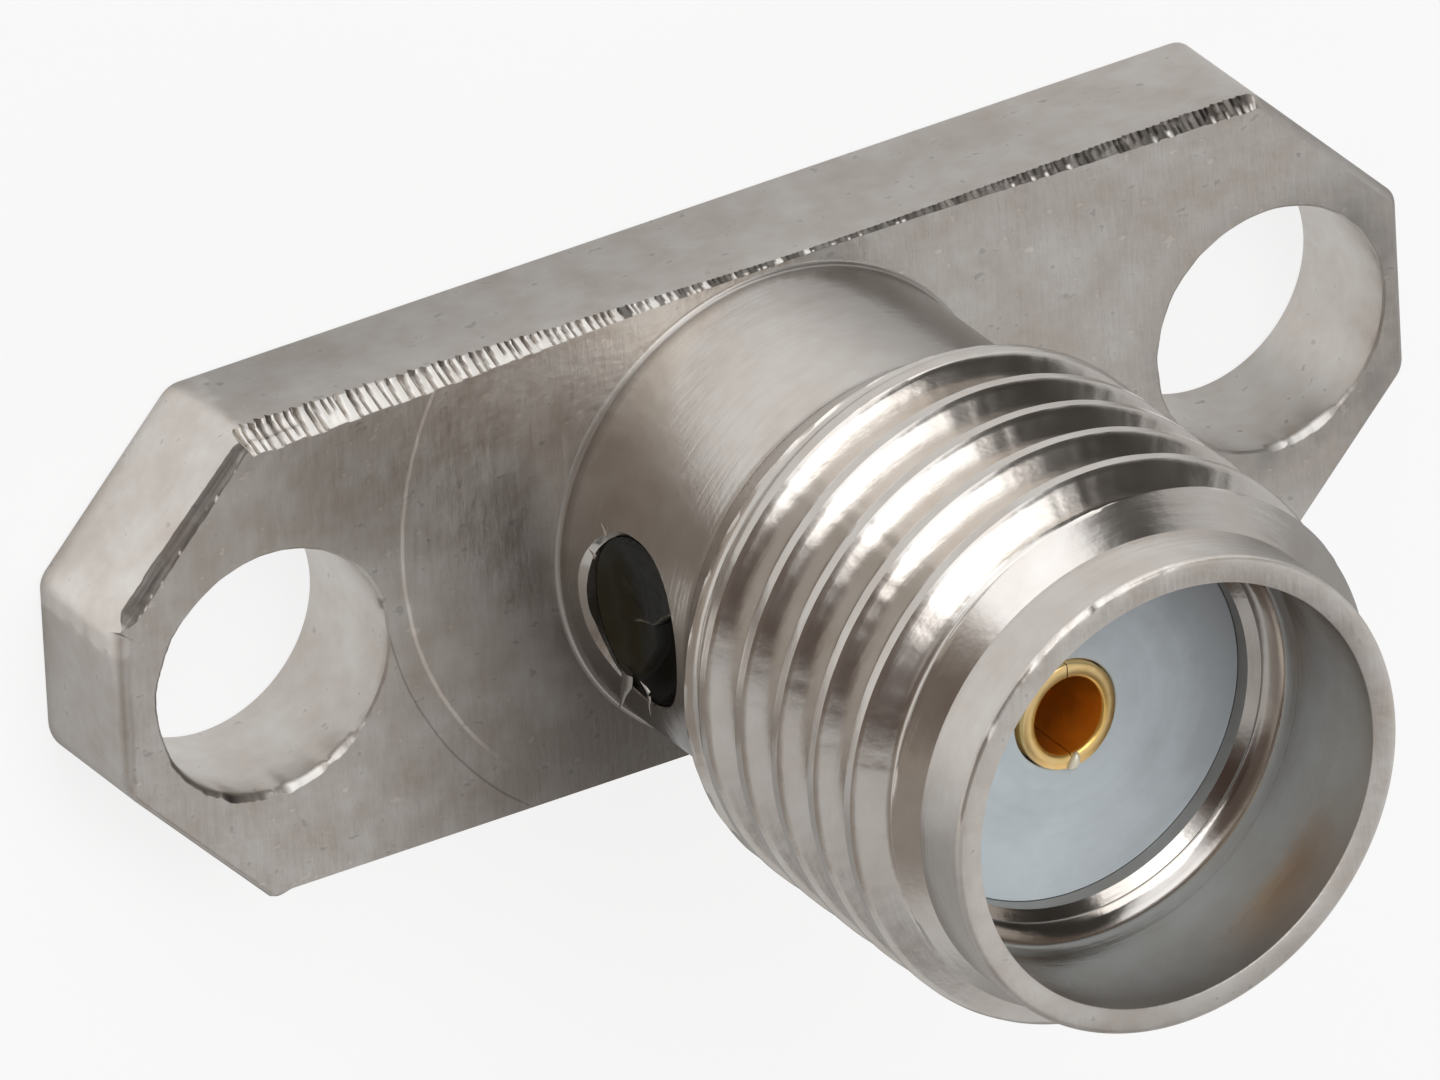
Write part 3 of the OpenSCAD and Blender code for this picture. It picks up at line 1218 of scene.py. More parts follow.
        # Share 1 is the rim's outer edge and share 0 its inner edge
        for share, on, deeper in ((1.0, self.neck, 0.0), (0.8, self.neck, 0.0),
                                  (0.2, self.neck, 0.0), (0.0, self.neck, 0.0),
                                  (0.0, self.neck, 0.06), (0.0, self.bore, 0.0)):
            outside = on == self.neck
            row, tones = [], []
            for t in hole.directions():
                wide = hole.rim_at(t)
                radius = hole.radius + wide * share
                depth = (wide * 1.1 * (1 - share) + deeper) * outside
                y, z = -radius * math.cos(t), hole.height + radius * math.sin(t)
                row.append((-math.sqrt(on * on - y * y) + depth, y, z))
                # Painted glints along the rim's upper side towards +Y; wider broken places a little
                # lighter.
                fleck = ramp(uneven(t * 9.0, 2.0, 4.0), 0.05, 0.3) * ramp(abs(t - 2.3), 0.5, 0.3)
                worn = ramp(wide, hole.rim, hole.wide_rim) * 0.12 * (share < 1)
                tones.append((worn + 0.8 * fleck) * outside)
            rows.append(shell.loop(row, tones))
        shell.bridge(*rows)
        self.drilled_wall(shell, self.neck, rows[0], *neck_rings)
        self.drilled_wall(shell, self.bore, rows[-1], *bore_rings)


@dataclass(frozen=True)
class Sliver:
    """A thin burr that hangs from the side hole's rim."""

    start: Point
    reach: Point
    width: float
    tone: float
    tip: float = 0.004
    flatness: float = 0.35
    steps: int = 8
    sides: int = 6

    def add_to(self, shell: Shell) -> None:
        """Adds the sliver, tapered and slightly bent, with its root in the metal.

        Args:
            shell: The body's skin.
        """
        along = Vector(self.reach)
        across = along.cross(Vector((1.0, 0.0, 0.0))).normalized()
        thin = along.cross(across).normalized()
        rows = []
        for i in range(self.steps + 1):
            share = i / self.steps
            bend = uneven(share * 2.5, self.width * 40, 0.0) * along.length * 0.12
            centre = Vector(self.start) + along * share + across * bend
            half = self.width * (1 - share) + self.tip
            flat = half * self.flatness
            points = [centre + across * (half * math.cos(t)) + thin * (flat * math.sin(t))
                      for t in circle(self.sides)]
            rows.append(shell.loop(points, [self.tone] * self.sides))
        shell.solid(rows)


@dataclass
class JackBody:
    """The one-piece metal body."""

    flange: Flange = field(default_factory=Flange)
    barrel: Barrel = field(default_factory=Barrel)
    thread: CouplingThread = field(default_factory=CouplingThread)
    slivers: tuple[Sliver, ...] = (
        Sliver((-2.49, -0.74, 2.6), (-0.03, -0.52, -0.13), 0.12, 0.2),
        Sliver((-2.5, -0.84, 3.02), (-0.02, -0.2, 0.05), 0.03, 0.3),
        Sliver((-2.6, 0.5, 2.27), (-0.02, 0.06, -0.1), 0.04, 0.6),
        Sliver((-2.52, 0.78, 2.36), (-0.02, 0.13, -0.05), 0.035, 0.5),
        # The last sliver's full tone paints it as a bright glint in the hole.
        Sliver((-2.46, -0.84, 2.98), (-0.03, 0.09, -0.13), 0.04, 1.0),
    )

    def build(self, plate: "NickelPlate") -> bpy.types.Object:
        """Builds the body's skin.

        Args:
            plate: Its finish.

        Returns:
            The body.
        """
        material = plate.build()
        shell = Shell()
        foot, back_rim = self.barrel.add_to(shell, self.thread)
        self.flange.add_to(shell, foot, back_rim)
        self.barrel.nick(shell)
        shell.absorb(self.thread.build(material))
        shell.weld()
        for sliver in self.slivers:
            sliver.add_to(shell)
        body = coat(shell.finish(Piece.BODY.value), material)
        plate.dress(body)
        return body


def cut_by(piece: bpy.types.Object, tool: bpy.types.Object, operation: str = "DIFFERENCE") -> None:
    """Cuts a piece with a tool, or joins the tool to it, and removes the tool.

    Args:
        piece: What is cut.
        tool: What cuts it.
        operation: The kind of cut.
    """
    modifier = piece.modifiers.new("cut", "BOOLEAN")
    modifier.operation, modifier.solver, modifier.object = operation, "EXACT", tool
    piece.data = applied(piece, modifier)
    bpy.data.objects.remove(tool)
    piece.data.set_sharp_from_angle(angle=SHARP_EDGE)


def turned(name: str, profile: Profile) -> bpy.types.Object:
    """A closed turned solid whose profile runs once round its section.

    Args:
        name: The object's name.
        profile: Radius and height of each point. A radius of 0 is a point on the axis.

    Returns:
        The solid.
    """
    shell = Shell()
    rings = [shell.ring(max(radius, ON_AXIS), z) for radius, z in profile]
    shell.bridge(*rings, rings[0])
    shell.weld()
    return shell.finish(name)


def side_rod(name: str, radius: float, height: float, reach: float) -> bpy.types.Object:
    """A plain rod along -X from the axis.

    Args:
        name: The object's name.
        radius: The rod's radius.
        height: Its middle's height.
        reach: Its length.

    Returns:
        The rod.
    """
    shell = Shell()
    shell.solid([shell.loop((x, radius * math.cos(t), height + radius * math.sin(t))
                            for t in circle(ROD_SIDES)) for x in (0.0, -reach)])
    shell.weld()
    return shell.finish(name)


@dataclass
class DielectricBead:
    """The white cylinder between body and contact."""

    radius: float = 2.106
    hole: float = 0.615
    hole_break: float = 0.01
    low: float = 0.02
    high: float = 7.21
    edge: float = 0.012
    cross_radius: float = 0.92
    cross_height: float = 2.94

    def build(self, material: bpy.types.Material) -> bpy.types.Object:
        """Builds the bead with its cross hole.

        Args:
            material: Its finish.

        Returns:
            The bead.
        """
        r, h, e, top = self.radius, self.hole, self.edge, self.high
        bead = turned(Piece.BEAD.value, [
            (h, self.low), (r - e, self.low), (r, self.low + e), (r, top - e),
            (r - e * 0.3, top - e * 0.3), (r - e, top),
            (h + self.hole_break, top), (h, top - self.hole_break)])
        cut_by(bead, side_rod("cross", self.cross_radius, self.cross_height, r + 1))
        return coat(bead, material)


@dataclass
class CentreContact:
    """The slotted socket contact."""

    radius: float = 0.612
    hole: float = 0.44
    low: float = 0.05
    high: float = 7.29
    edge: float = 0.03
    sink: float = 0.035
    depth: float = 2.6
    slot_half: float = 0.006
    slot_depth: float = 2.1
    squeeze: float = 0.065
    groove_radius: float = 0.48
    groove_half: float = 0.55
    groove_height: float = 2.94
    rear_hole: float = 0.25
    rear_depth: float = 1.3
    half_steps: int = 40
    chip_place: Run = (0.03, -0.53)
    chip_half: Point = (0.07, 0.1, 0.055)
    chip_taper: float = 0.35
    chip_lean: float = 0.03
    chip_rings: int = 8
    chip_sides: int = 14

    def sector(self, radius: float, z: float, side: int) -> list[Point]:
        """Points of one half ring, between the slots.

        Args:
            radius: The ring's radius.
            z: Its height.
            side: 1 for the half at +X and -1 for the other.

        Returns:
            The points, counter-clockwise.
        """
        first = math.asin(min(1.0, self.slot_half / radius)) - math.pi / 2
        narrow = 1 - self.squeeze * ramp(z, self.high - self.slot_depth, self.high)
        angles = [mix(first, -first, k / self.half_steps) for k in range(self.half_steps + 1)]
        return [(side * radius * narrow * math.cos(a), side * radius * math.sin(a), z)
                for a in angles]

    def add_chip(self, shell: Shell) -> None:
        """Adds the chip that is stuck in the slot at -Y, whose full tone paints it as a bright
        glint.

        Args:
            shell: The contact's skin.
        """
        middle = Vector((*self.chip_place, self.high))
        wide, deep, tall = self.chip_half
        rows = []
        for i in range(1, self.chip_rings):
            lean = math.pi * i / self.chip_rings
            size = math.sin(lean)
            points = []
            for t in circle(self.chip_sides):
                taper = 1 - self.chip_taper * math.sin(t)
                x = size * (wide * math.cos(t) * taper + self.chip_lean * math.sin(t))
                y = size * deep * math.sin(t)
                points.append(middle + Vector((x, y, tall * math.cos(lean))))
            rows.append(shell.loop(points, [1.0] * self.chip_sides))
        shell.solid(rows)

    def build(self, material: bpy.types.Material) -> bpy.types.Object:
        """Builds the contact: two spring halves on one turned shank.

        Args:
            material: Its finish.

        Returns:
            The contact.
        """
        shell = Shell()
        r, h, e, top, sink = self.radius, self.hole, self.edge, self.high, self.sink
        floor = top - self.slot_depth
        crown = [(r, floor), (r, top - e), (r - e * 0.3, top - e * 0.3), (r - e, top),
                 (h + sink, top), (h + sink * 0.3, top - sink * 0.4), (h, top - sink), (h, floor)]
        halves = []
        for side in (1, -1):
            rows = [shell.loop(self.sector(radius, z, side)) for radius, z in crown]
            shell.bridge(*rows, closed=False)
            for end in (0, -1):
                shell.mesh.faces.new([row[end] for row in rows])
            halves.append(rows)
        outer = halves[0][0] + halves[1][0]
        inner = halves[0][-1] + halves[1][-1]
        n = self.half_steps
        for a, b in ((n, n + 1), (2 * n + 1, 0)):
            shell.mesh.faces.new((outer[a], outer[b], inner[b], inner[a]))

        def drop(ring: Row, path: Profile) -> Row:
            """Carries a ring down a path.

            Args:
                ring: Where the path starts.
                path: Radius and height of each further ring.

            Returns:
                The last ring.
            """
            rows = [ring] + [shell.loop(p for side in (1, -1) for p in self.sector(radius, z, side))
                             for radius, z in path]
            shell.bridge(*rows)
            return rows[-1]

        g, mid, wide = self.groove_radius, self.groove_height, self.groove_half
        outer_end = drop(outer, [(r, mid + wide), (g, mid + wide), (g, mid - wide), (r, mid - wide),
                                 (r, self.low + e), (r - e, self.low)])
        for end in (drop(outer_end, [(self.rear_hole, self.low),
                                     (self.rear_hole, self.low + self.rear_depth)]),
                    drop(inner, [(h, top - self.depth)])):
            shell.mesh.faces.new(end)
        shell.weld()
        self.add_chip(shell)
        return coat(shell.finish(Piece.CONTACT.value), material)


@dataclass
class ResinPlug:
    """The cast resin in the side hole and in the contact's groove."""

    radius: float = 0.91
    height: float = 2.94
    wall_x: float = -2.47
    sag: float = 0.2
    sunk: float = 0.03
    broken: float = 0.13
    crack_half: float = 0.013
    groove_radius: float = 0.49
    collar: float = 0.63
    collar_half: float = 0.54
    contact_radius: float = 0.64
    contact_run: Run = (0.5, 5.5)
    rings: int = 60
    spokes: int = 180
    crack: Profile = (
        (-0.91, -0.4), (-0.51, -0.28), (-0.07, -0.15), (0.04, -0.03), (0.31, 0.16), (0.91, 0.5))

    def face(self, y: float, z: float) -> tuple[float, float]:
        """The resin's free surface: a shallow meniscus, broken away on one side of a crack.

        Args:
            y: Place across the hole.
            z: Place along the connector, from the hole's centre.

        Returns:
            The surface's X and its tone.
        """
        r = math.hypot(y, z) / self.radius
        edge = self.crack[-1][1]
        for (z0, y0), (z1, y1) in zip(self.crack, self.crack[1:]):
            if z0 <= z <= z1:
                edge = mix(y0, y1, (z - z0) / (z1 - z0))
        edge += 0.02 * uneven(z * 9.0, 4.0, 2.0)
        below = ramp(y - edge, 0.012, -0.03)
        broken = ramp(z + 0.4 * max(0.0, -0.45 - y), -0.2, -0.05)
        line = math.exp(-(((y - edge - 0.004) / self.crack_half) ** 2))
        line *= ramp(z, -0.55, -0.45) * ramp(z, -0.52, -0.42) * ramp(r, 0.99, 0.9)
        line *= 0.7 + 0.9 * abs(uneven(z * 14.0, 0.0, 7.0))
        sunk = (self.broken * broken + self.sunk) * below
        sunk += self.sunk * uneven(y * 4.0, z * 4.0, 0.0)
        # The tone paints a highlight along the crack's lip and shadow in the broken-away hollow.
        tone = line - below * broken * (1 - line)
        return self.wall_x + (self.sag + sunk) * (1 - r ** 5), tone

    def build(self, material: bpy.types.Material) -> bpy.types.Object:
        """Builds the plug.

        Args:
            material: Its finish.

        Returns:
            The plug.
        """
        shell = Shell()
        turns = circle(self.spokes)
        rows = []
        for i in range(1, self.rings + 1):
            r = self.radius * i / self.rings
            spots = [(r * math.cos(t), r * math.sin(t)) for t in turns]
            faces = [self.face(y, z) for y, z in spots]
            points = [(x, y, self.height + z) for (x, _), (y, z) in zip(faces, spots)]
            rows.append(shell.loop(points, (tone for _, tone in faces)))
        centre = shell.mesh.verts.new((self.face(0, 0)[0], 0, self.height))
        for a, b in zip(rows[0], rows[0][1:] + rows[0][:1]):
            shell.mesh.faces.new((centre, a, b))
        back = shell.loop((0.0, self.radius * math.cos(t), self.height + self.radius * math.sin(t))
                          for t in turns)
        shell.bridge(*rows, back)
        shell.mesh.faces.new(back)
        shell.weld()
        plug = shell.finish(Piece.RESIN.value)
        r, (low, high) = self.contact_radius, self.contact_run
        cut_by(plug, turned("shank", [(0, low), (r, low), (r, high), (0, high)]))
        low, high = self.height - self.collar_half, self.height + self.collar_half
        cut_by(plug, turned("collar", [(self.groove_radius, low), (self.collar, low),
                                       (self.collar, high), (self.groove_radius, high)]), "UNION")
        return coat(plug, material)


class Finish(Graph):
    """The node tree of one new material."""

    def __init__(self, name: str) -> None:
        """Makes an empty material.

        Args:
            name: The material's name.
        """
        self.material = bpy.data.materials.new(name)
        self.material.use_nodes = True
        super().__init__(self.material.node_tree)

    def place(self) -> Signal:
        """Object coordinates in millimetres."""
        return self.scale(self.signal(self.add("ShaderNodeTexCoord"), "Object"), 1 / MM)

    def attribute(self, name: str, output: str = "Fac") -> Signal:
        """Reads one of the piece's own attributes."""
        return self.signal(self.add("ShaderNodeAttribute", {"attribute_name": name}), output)

    def bump(self, height: Signal, strength: Number) -> Signal:
        """Turns a height into a bumped normal."""
        values = {"Height": height, "Strength": strength, "Distance": BUMP_DISTANCE * MM}
        return self.made("ShaderNodeBump", inputs=values)

    def surface(self, shader: Signal) -> bpy.types.Material:
        """Ends the tree in a shader and gives the material."""
        self.add("ShaderNodeOutputMaterial", inputs={"Surface": shader})
        return self.material

    def close(self, **values: object) -> bpy.types.Material:
        """Ends the tree in its main shader.

        Args:
            values: Shader inputs, with underscores for blanks.

        Returns:
            The material.
        """
        named = {name.replace("_", " "): value for name, value in values.items()}
        return self.surface(self.made("ShaderNodeBsdfPrincipled", inputs=named))


@dataclass(frozen=True)
class Zone:
    """How the plate looks on one kind of surface; its level is partly the plate's tone and partly
    painted light and shade.
    """

    level: float
    rough: float
    bump: float


@dataclass(frozen=True)
class NickelPlate:
    """Nickel plate over turned and milled metal, with the marks of each surface and painted light
    and shade in the surfaces' levels.
    """

    warm: Colour = (0.83, 0.74, 0.66)
    pale: Colour = (1.1, 1.07, 1.02)
    # Each zone's level is partly painted light and shade: the fillet, the mouth and its foot are
    # painted darker as shade in the crease and the recess.
    barrel: Zone = Zone(0.6, 0.22, 0.13)
    neck: Zone = Zone(0.66, 0.25, 0.25)
    foot: Zone = Zone(0.46, 0.15, 0.1)
    seat: Zone = Zone(0.72, 0.3, 0.1)
    fillet: Zone = Zone(0.42, 0.36, 0.2)
    face: Zone = Zone(0.62, 0.46, 0.4)
    side: Zone = Zone(0.575, 0.42, 0.3)
    wall: Zone = Zone(0.57, 0.36, 0.15)
    ring: Zone = Zone(0.69, 0.42, 0.3)
    mouth: Zone = Zone(0.5, 0.31, 0.06)
    # Painted light and shade: the lit corner, the neck's shaded side, the ring's lower side and the
    # +X hole's wall; the face is darker towards its +X end.
    lit_corner_level: float = 0.7
    shaded_neck_level: float = 0.36
    shaded_ring_level: float = 0.56
    end_face_level: float = 0.53
    painted_wall_levels: tuple[float, float, float] = (0.73, 0.56, 0.42)
    glint: float = 0.84
    lit_neck_turn: float = math.radians(129.0)
    ring_low: float = 9.335
    ring_inside: float = 2.385
    foot_high: float = 7.75
    foot_low: float = 7.3
    foot_inside: float = 2.1
    foot_outside: float = 2.4
    seat_low: float = 7.0
    seat_outside: float = 2.15
    neck_high: float = 4.1
    neck_low: float = 1.7
    bore_outside: float = 2.2
    face_low: float = 1.575
    fillet_outside: float = 2.7
    arc_centre: Run = (-0.634, 0.736)
    arc_radius: float = 3.876
    arc_edge: Run = (0.03, 0.012)
    arc_run: Run = (-3.4, -3.9)
    arc_level: float = 0.3
    dark_arc: float = 0.28
    dark_arc_edge: Run = (0.016, 0.006)
    dark_arc_x: Run = (-3.0, -3.4)
    dark_arc_y: Run = (0.1, -0.2)
    dark_arc_level: float = 0.2
    stain_centre: Run = (-1.75, -2.4)
    barrel_shade_run: Run = (2.55, 0.0)
    barrel_shade_strength: float = 0.95
    rub_centre: Run = (-4.8, 1.9)
    dark_patch_run: Run = (1.1, 0.1)
    dark_patch_strength: float = 0.2
    brown_centre: Run = (6.32, -0.2)
    brown_run: Run = (2.1, 1.3)
    hole_x: float = 6.12
    wall_reach: float = 1.43

    def zone_at(self, x: float, y: float, z: float) -> tuple[Zone, float, float]:
        """What kind of surface lies at a place of the body.

        Args:
            x: Place along the flange.
            y: Place across it.
            z: Height over the mounting face.

        Returns:
            The zone, 1 on the flange's front face, and 1 on flat machined faces.
        """
        r = math.hypot(x, y)
        if z > self.ring_low and r > self.ring_inside:
            # Painted shade: the front ring darker towards -Y.
            level = mix(self.ring.level, self.shaded_ring_level, ramp(-y, 1.6, 2.6))
            return replace(self.ring, level=level), 0.0, 1.0
        # The mouth and its foot are painted darker, as shade in the recess.
        if z > self.foot_low and self.foot_inside < r < self.foot_outside:
            return (self.mouth if z > self.foot_high else self.foot), 0.0, 0.0
        if self.neck_low < z < self.neck_high and r > self.bore_outside:
            # Painted light and shade: the neck lighter on the side the light falls on, darker on
            # the other.
            near = (x * math.cos(self.lit_neck_turn) + y * math.sin(self.lit_neck_turn)) / r
            level = mix(self.shaded_neck_level, self.neck.level, ramp(near, 0.49, 0.99))
            return replace(self.neck, level=level), 0.0, 0.0
        if z > self.seat_low and r < self.seat_outside:
            return self.seat, 0.0, 0.0
        if z > self.neck_low or r < self.bore_outside:
            return self.barrel, 0.0, 0.0
        if z > self.face_low and r > self.fillet_outside:
            # The face darker towards its +X end.
            level = mix(self.face.level, self.end_face_level, ramp(x, 6.5, 7.3))
            return replace(self.face, level=level), 1.0, 1.0
        # The fillet is painted darker, as shade in its crease.
        if z > self.face_low:
            return self.fillet, 0.0, 0.0
        wall = math.hypot(abs(x) - self.hole_x, y) < self.wall_reach
        # Painted light and shade on the +X hole's wall: lighter on its inner side, darker towards
        # the end and towards -Y.
        if wall and x > 0:
            near_end, far_end, low = self.painted_wall_levels
            level = mix(mix(near_end, far_end, ramp(x, 6.9, 7.4)), low, ramp(-y, 0.7, 1.3))
            return replace(self.wall, level=level), 0.0, 1.0
        return (self.wall if wall else self.side), 0.0, 1.0

    def dress(self, body: bpy.types.Object) -> None:
        """Writes the zones onto the body's vertices.

        Args:
            body: The finished body.
        """
        zones, kinds = [], []
        for vert in body.data.vertices:
            zone, face, flat = self.zone_at(*(value / MM for value in vert.co))
            zones += (zone.level, zone.rough, zone.bump)
            # The third kind marks the mouth's wall for its warm painted shade.
            kinds += (face, flat, float(zone is self.mouth))
        for name, values in (("zone", zones), ("kind", kinds)):
            layer = body.data.attributes.new(name, "FLOAT_VECTOR", "POINT")
            layer.data.foreach_set("vector", values)

    def marks(self, plate: Finish, place: Signal, wobble: Signal) -> tuple[Signal, Signal]:
        """Scratches and darkening on the flange's face: painted shade round the barrel's foot, a
        dark patch, and a brown patch round the +X hole.

        Args:
            plate: The material's tree.
            place: Object coordinates in millimetres.
            wobble: Unevenness, about -0.5 to 0.5.

        Returns:
            What the scratches add to the level, and how strongly the face is darkened.
        """
        x, y, _ = plate.parts(place)

        def away(centre: Run, wide: float, deep: float) -> Signal:
            """Distance from a place on the face, in a stretched measure."""
            return plate.distance((x - centre[0]) * wide, (y - centre[1]) * deep)

        arc = away(self.arc_centre, 1.0, 1.0) + wobble * 0.03 - self.arc_radius
        scratch = abs(arc).step(*self.arc_edge) * x.step(*self.arc_run)
        dark_arc = abs(arc - self.dark_arc).step(*self.dark_arc_edge)
        dark_arc = dark_arc * y.step(*self.dark_arc_y) * x.step(*self.dark_arc_x)
        # Painted shade on the face round the barrel's foot, towards -X and -Y.
        darkening = (away(self.stain_centre, 0.6, 0.55) + wobble * 0.25).step(*self.barrel_shade_run)
        dark_patch = (away(self.rub_centre, 0.6, 0.6) + wobble * 0.3).step(*self.dark_patch_run)
        brown = away(self.brown_centre, 1.0, 1.0).step(*self.brown_run)
        brown = brown * (wobble * 1.6 + 0.22).held()
        return (scratch * self.arc_level - dark_arc * self.dark_arc_level,
                darkening * self.barrel_shade_strength + dark_patch * self.dark_patch_strength + brown)

    def build(self) -> bpy.types.Material:
        """Makes the material.

        Returns:
            The material.
        """
        plate = Finish("nickel_plate")
        place = plate.place()
        x, y, _ = plate.parts(place)
        level, rough, strength = plate.parts(plate.attribute("zone", "Vector"))
        face, flat, inside = plate.parts(plate.attribute("kind", "Vector"))
        tone = plate.attribute("tone")
        bright, dark = tone.high(0.0), (tone * -1.0).high(0.0)
        blotch = plate.noise(place, 1.5, 2.0, 0.6)
        scale = plate.blend(flat, (0.5, 0.5, 16.0), (13.0, 2.4, 3.0))
        grain = plate.noise(plate.product(place, scale), 1.0, 2.0, 0.62)
        speck = plate.noise(plate.product(place, (5.0, 7.0, 8.0)), 1.0, 2.0, 0.6)
        # Painted light: the side faces lighter near the -X,+Y corner.
        corner = (y - x * 1.09 + blotch * 0.9).step(9.32, 9.46) * (flat - face)
        scratch, darkening = self.marks(plate, place, blotch)

        # Tint, from pale to warm; warmer in the mouth's painted shade and in the painted shade near
        # the barrel
        grained = (1.0 - flat) * 0.2 + face * x.step(2.0, -1.5) * 0.5 + face * 0.06
        change = blotch * (flat * 0.3 + 1.1) + speck * (flat * 0.3 + 0.2) + grain * grained
        shade = (0.5 - change + dark * 0.4 + darkening * face * 0.5 + inside * 0.6).held()
        tint = plate.blend(shade * (1.0 - bright), self.pale, self.warm)

        # How bright it is: the zones' levels with their painted light and shade, the painted light
        # at the corner, and the tones' painted glints and shade
        level = level + corner * (self.lit_corner_level - self.side.level)
        level = level + face * (scratch + speck.step(-0.17, -0.23) * 0.12)
        level = level - speck.step(0.16, 0.24) * flat * 0.14
        # Dark tones and the painted shade near the barrel darken it; bright tones, painted glints
        # and the pale slivers, rise to the glint level.
        level = level * (1.0 - dark * 0.82) * (1.0 - darkening * face * 0.7)
        level = level + bright * (self.glint - level)

        rough = rough + blotch * 0.1 + grain * face * 0.12 + (bright + dark) * 0.15
        return plate.close(Base_Color=plate.scale(tint, level), Metallic=1.0, Roughness=rough,
                           Normal=plate.bump(grain * 0.7 + speck * 0.8, strength))


@dataclass(frozen=True)
class ContactGold:
    """Gold plate with fine turning lines, redder inside the hole, and a painted glint on the chip.
    """

    rich: Colour = (0.97, 0.72, 0.34)
    red: Colour = (0.98, 0.64, 0.2)
    painted_glint: Colour = (1.0, 0.95, 0.76)
    rough: float = 0.32

    def build(self) -> bpy.types.Material:
        """Makes the material.

        Returns:
            The material.
        """
        gold = Finish("contact_gold")
        place = gold.place()
        x, y, z = gold.parts(place)
        lines = gold.noise(gold.join(x * 0.6, y * 0.6, z * 24.0), 1.0)
        cloud = gold.noise(place, 5.0, 3.0, 0.6)
        # Painted glint: the chip's tone makes it pale and less metallic.
        chip_glint = gold.attribute("tone").high(0.0).low(1.0)
        deep = gold.distance(x, y).step(0.5, 0.44)
        plated = gold.blend((cloud.step(-0.1, 0.2) * 0.3 + deep).low(1.0), self.rich, self.red)
        return gold.close(Base_Color=gold.blend(chip_glint, plated, self.painted_glint),
                          Metallic=1.0 - chip_glint * 0.7, Roughness=self.rough + cloud * 0.2,
                          Normal=gold.bump(lines * 0.5 + cloud * 0.8, 0.25))


@dataclass(frozen=True)
class BeadWhite:
    """Bluish white fluoropolymer, cut on a lathe, with painted shade towards +X and painted light
    towards -X.
    """

    pale: Colour = (0.78, 0.885, 0.945)
    shade: Colour = (0.48, 0.53, 0.57)
    rough: float = 0.45

    def build(self) -> bpy.types.Material:
        """Makes the material.

        Returns:
            The material.
        """
        white = Finish("bead_white")
        place = white.place()
        x, y, z = white.parts(place)
        r = white.distance(x, y)
        lines = white.noise(white.join(x / r * 0.5, y / r * 0.5, r * 9.0 + z * 9.0), 1.0)
        cloud = white.noise(place, 1.3, 3.0, 0.6)
        # Painted shade towards +X and +Y, painted light towards -X and -Y.
        dark = (cloud * 0.9 + lines * 0.3 + (x + y * 0.3) * 0.36 + 0.44).held()
        return white.close(Base_Color=white.blend(dark, self.pale, self.shade),
                           Roughness=self.rough + cloud * 0.2,
                           Normal=white.bump(lines * 0.5 + cloud * 0.3, 0.2))


@dataclass(frozen=True)
class DarkResin:
    """Dark slate resin, olive towards the flange, near black as painted shadow where it is broken
    away, with a painted highlight along the crack.
    """

    slate: Colour = (0.038, 0.041, 0.041)
    olive: Colour = (0.031, 0.0265, 0.015)
    hollow_shadow: Colour = (0.0055, 0.0045, 0.003)
    edge: Colour = (0.26, 0.24, 0.19)
    rough: float = 0.3
    gloss: float = 0.14

    def build(self) -> bpy.types.Material:
        """Makes the material.

        Returns:
            The material.
        """
        resin = Finish("resin_dark")
        place = resin.place()
        _, y, z = resin.parts(place)
        cloud = resin.noise(place, 4.0, 3.0, 0.6)
        tone = resin.attribute("tone")
        low = (z + y * 0.3 + cloud * 0.4).step(2.7, 2.35)
        colour = resin.blend(low, self.slate, self.olive)
        # Painted shadow: the broken-away hollow near black.
        colour = resin.blend((tone * -1.0).high(0.0), colour, self.hollow_shadow)
        # Painted highlight: the pale line along the crack's lip.
        colour = resin.blend(tone.high(0.0).low(1.0), colour, self.edge)
        return resin.close(Base_Color=colour, Roughness=self.rough + cloud * 0.3,
                           Specular_IOR_Level=self.gloss, Normal=resin.bump(cloud, 0.3))


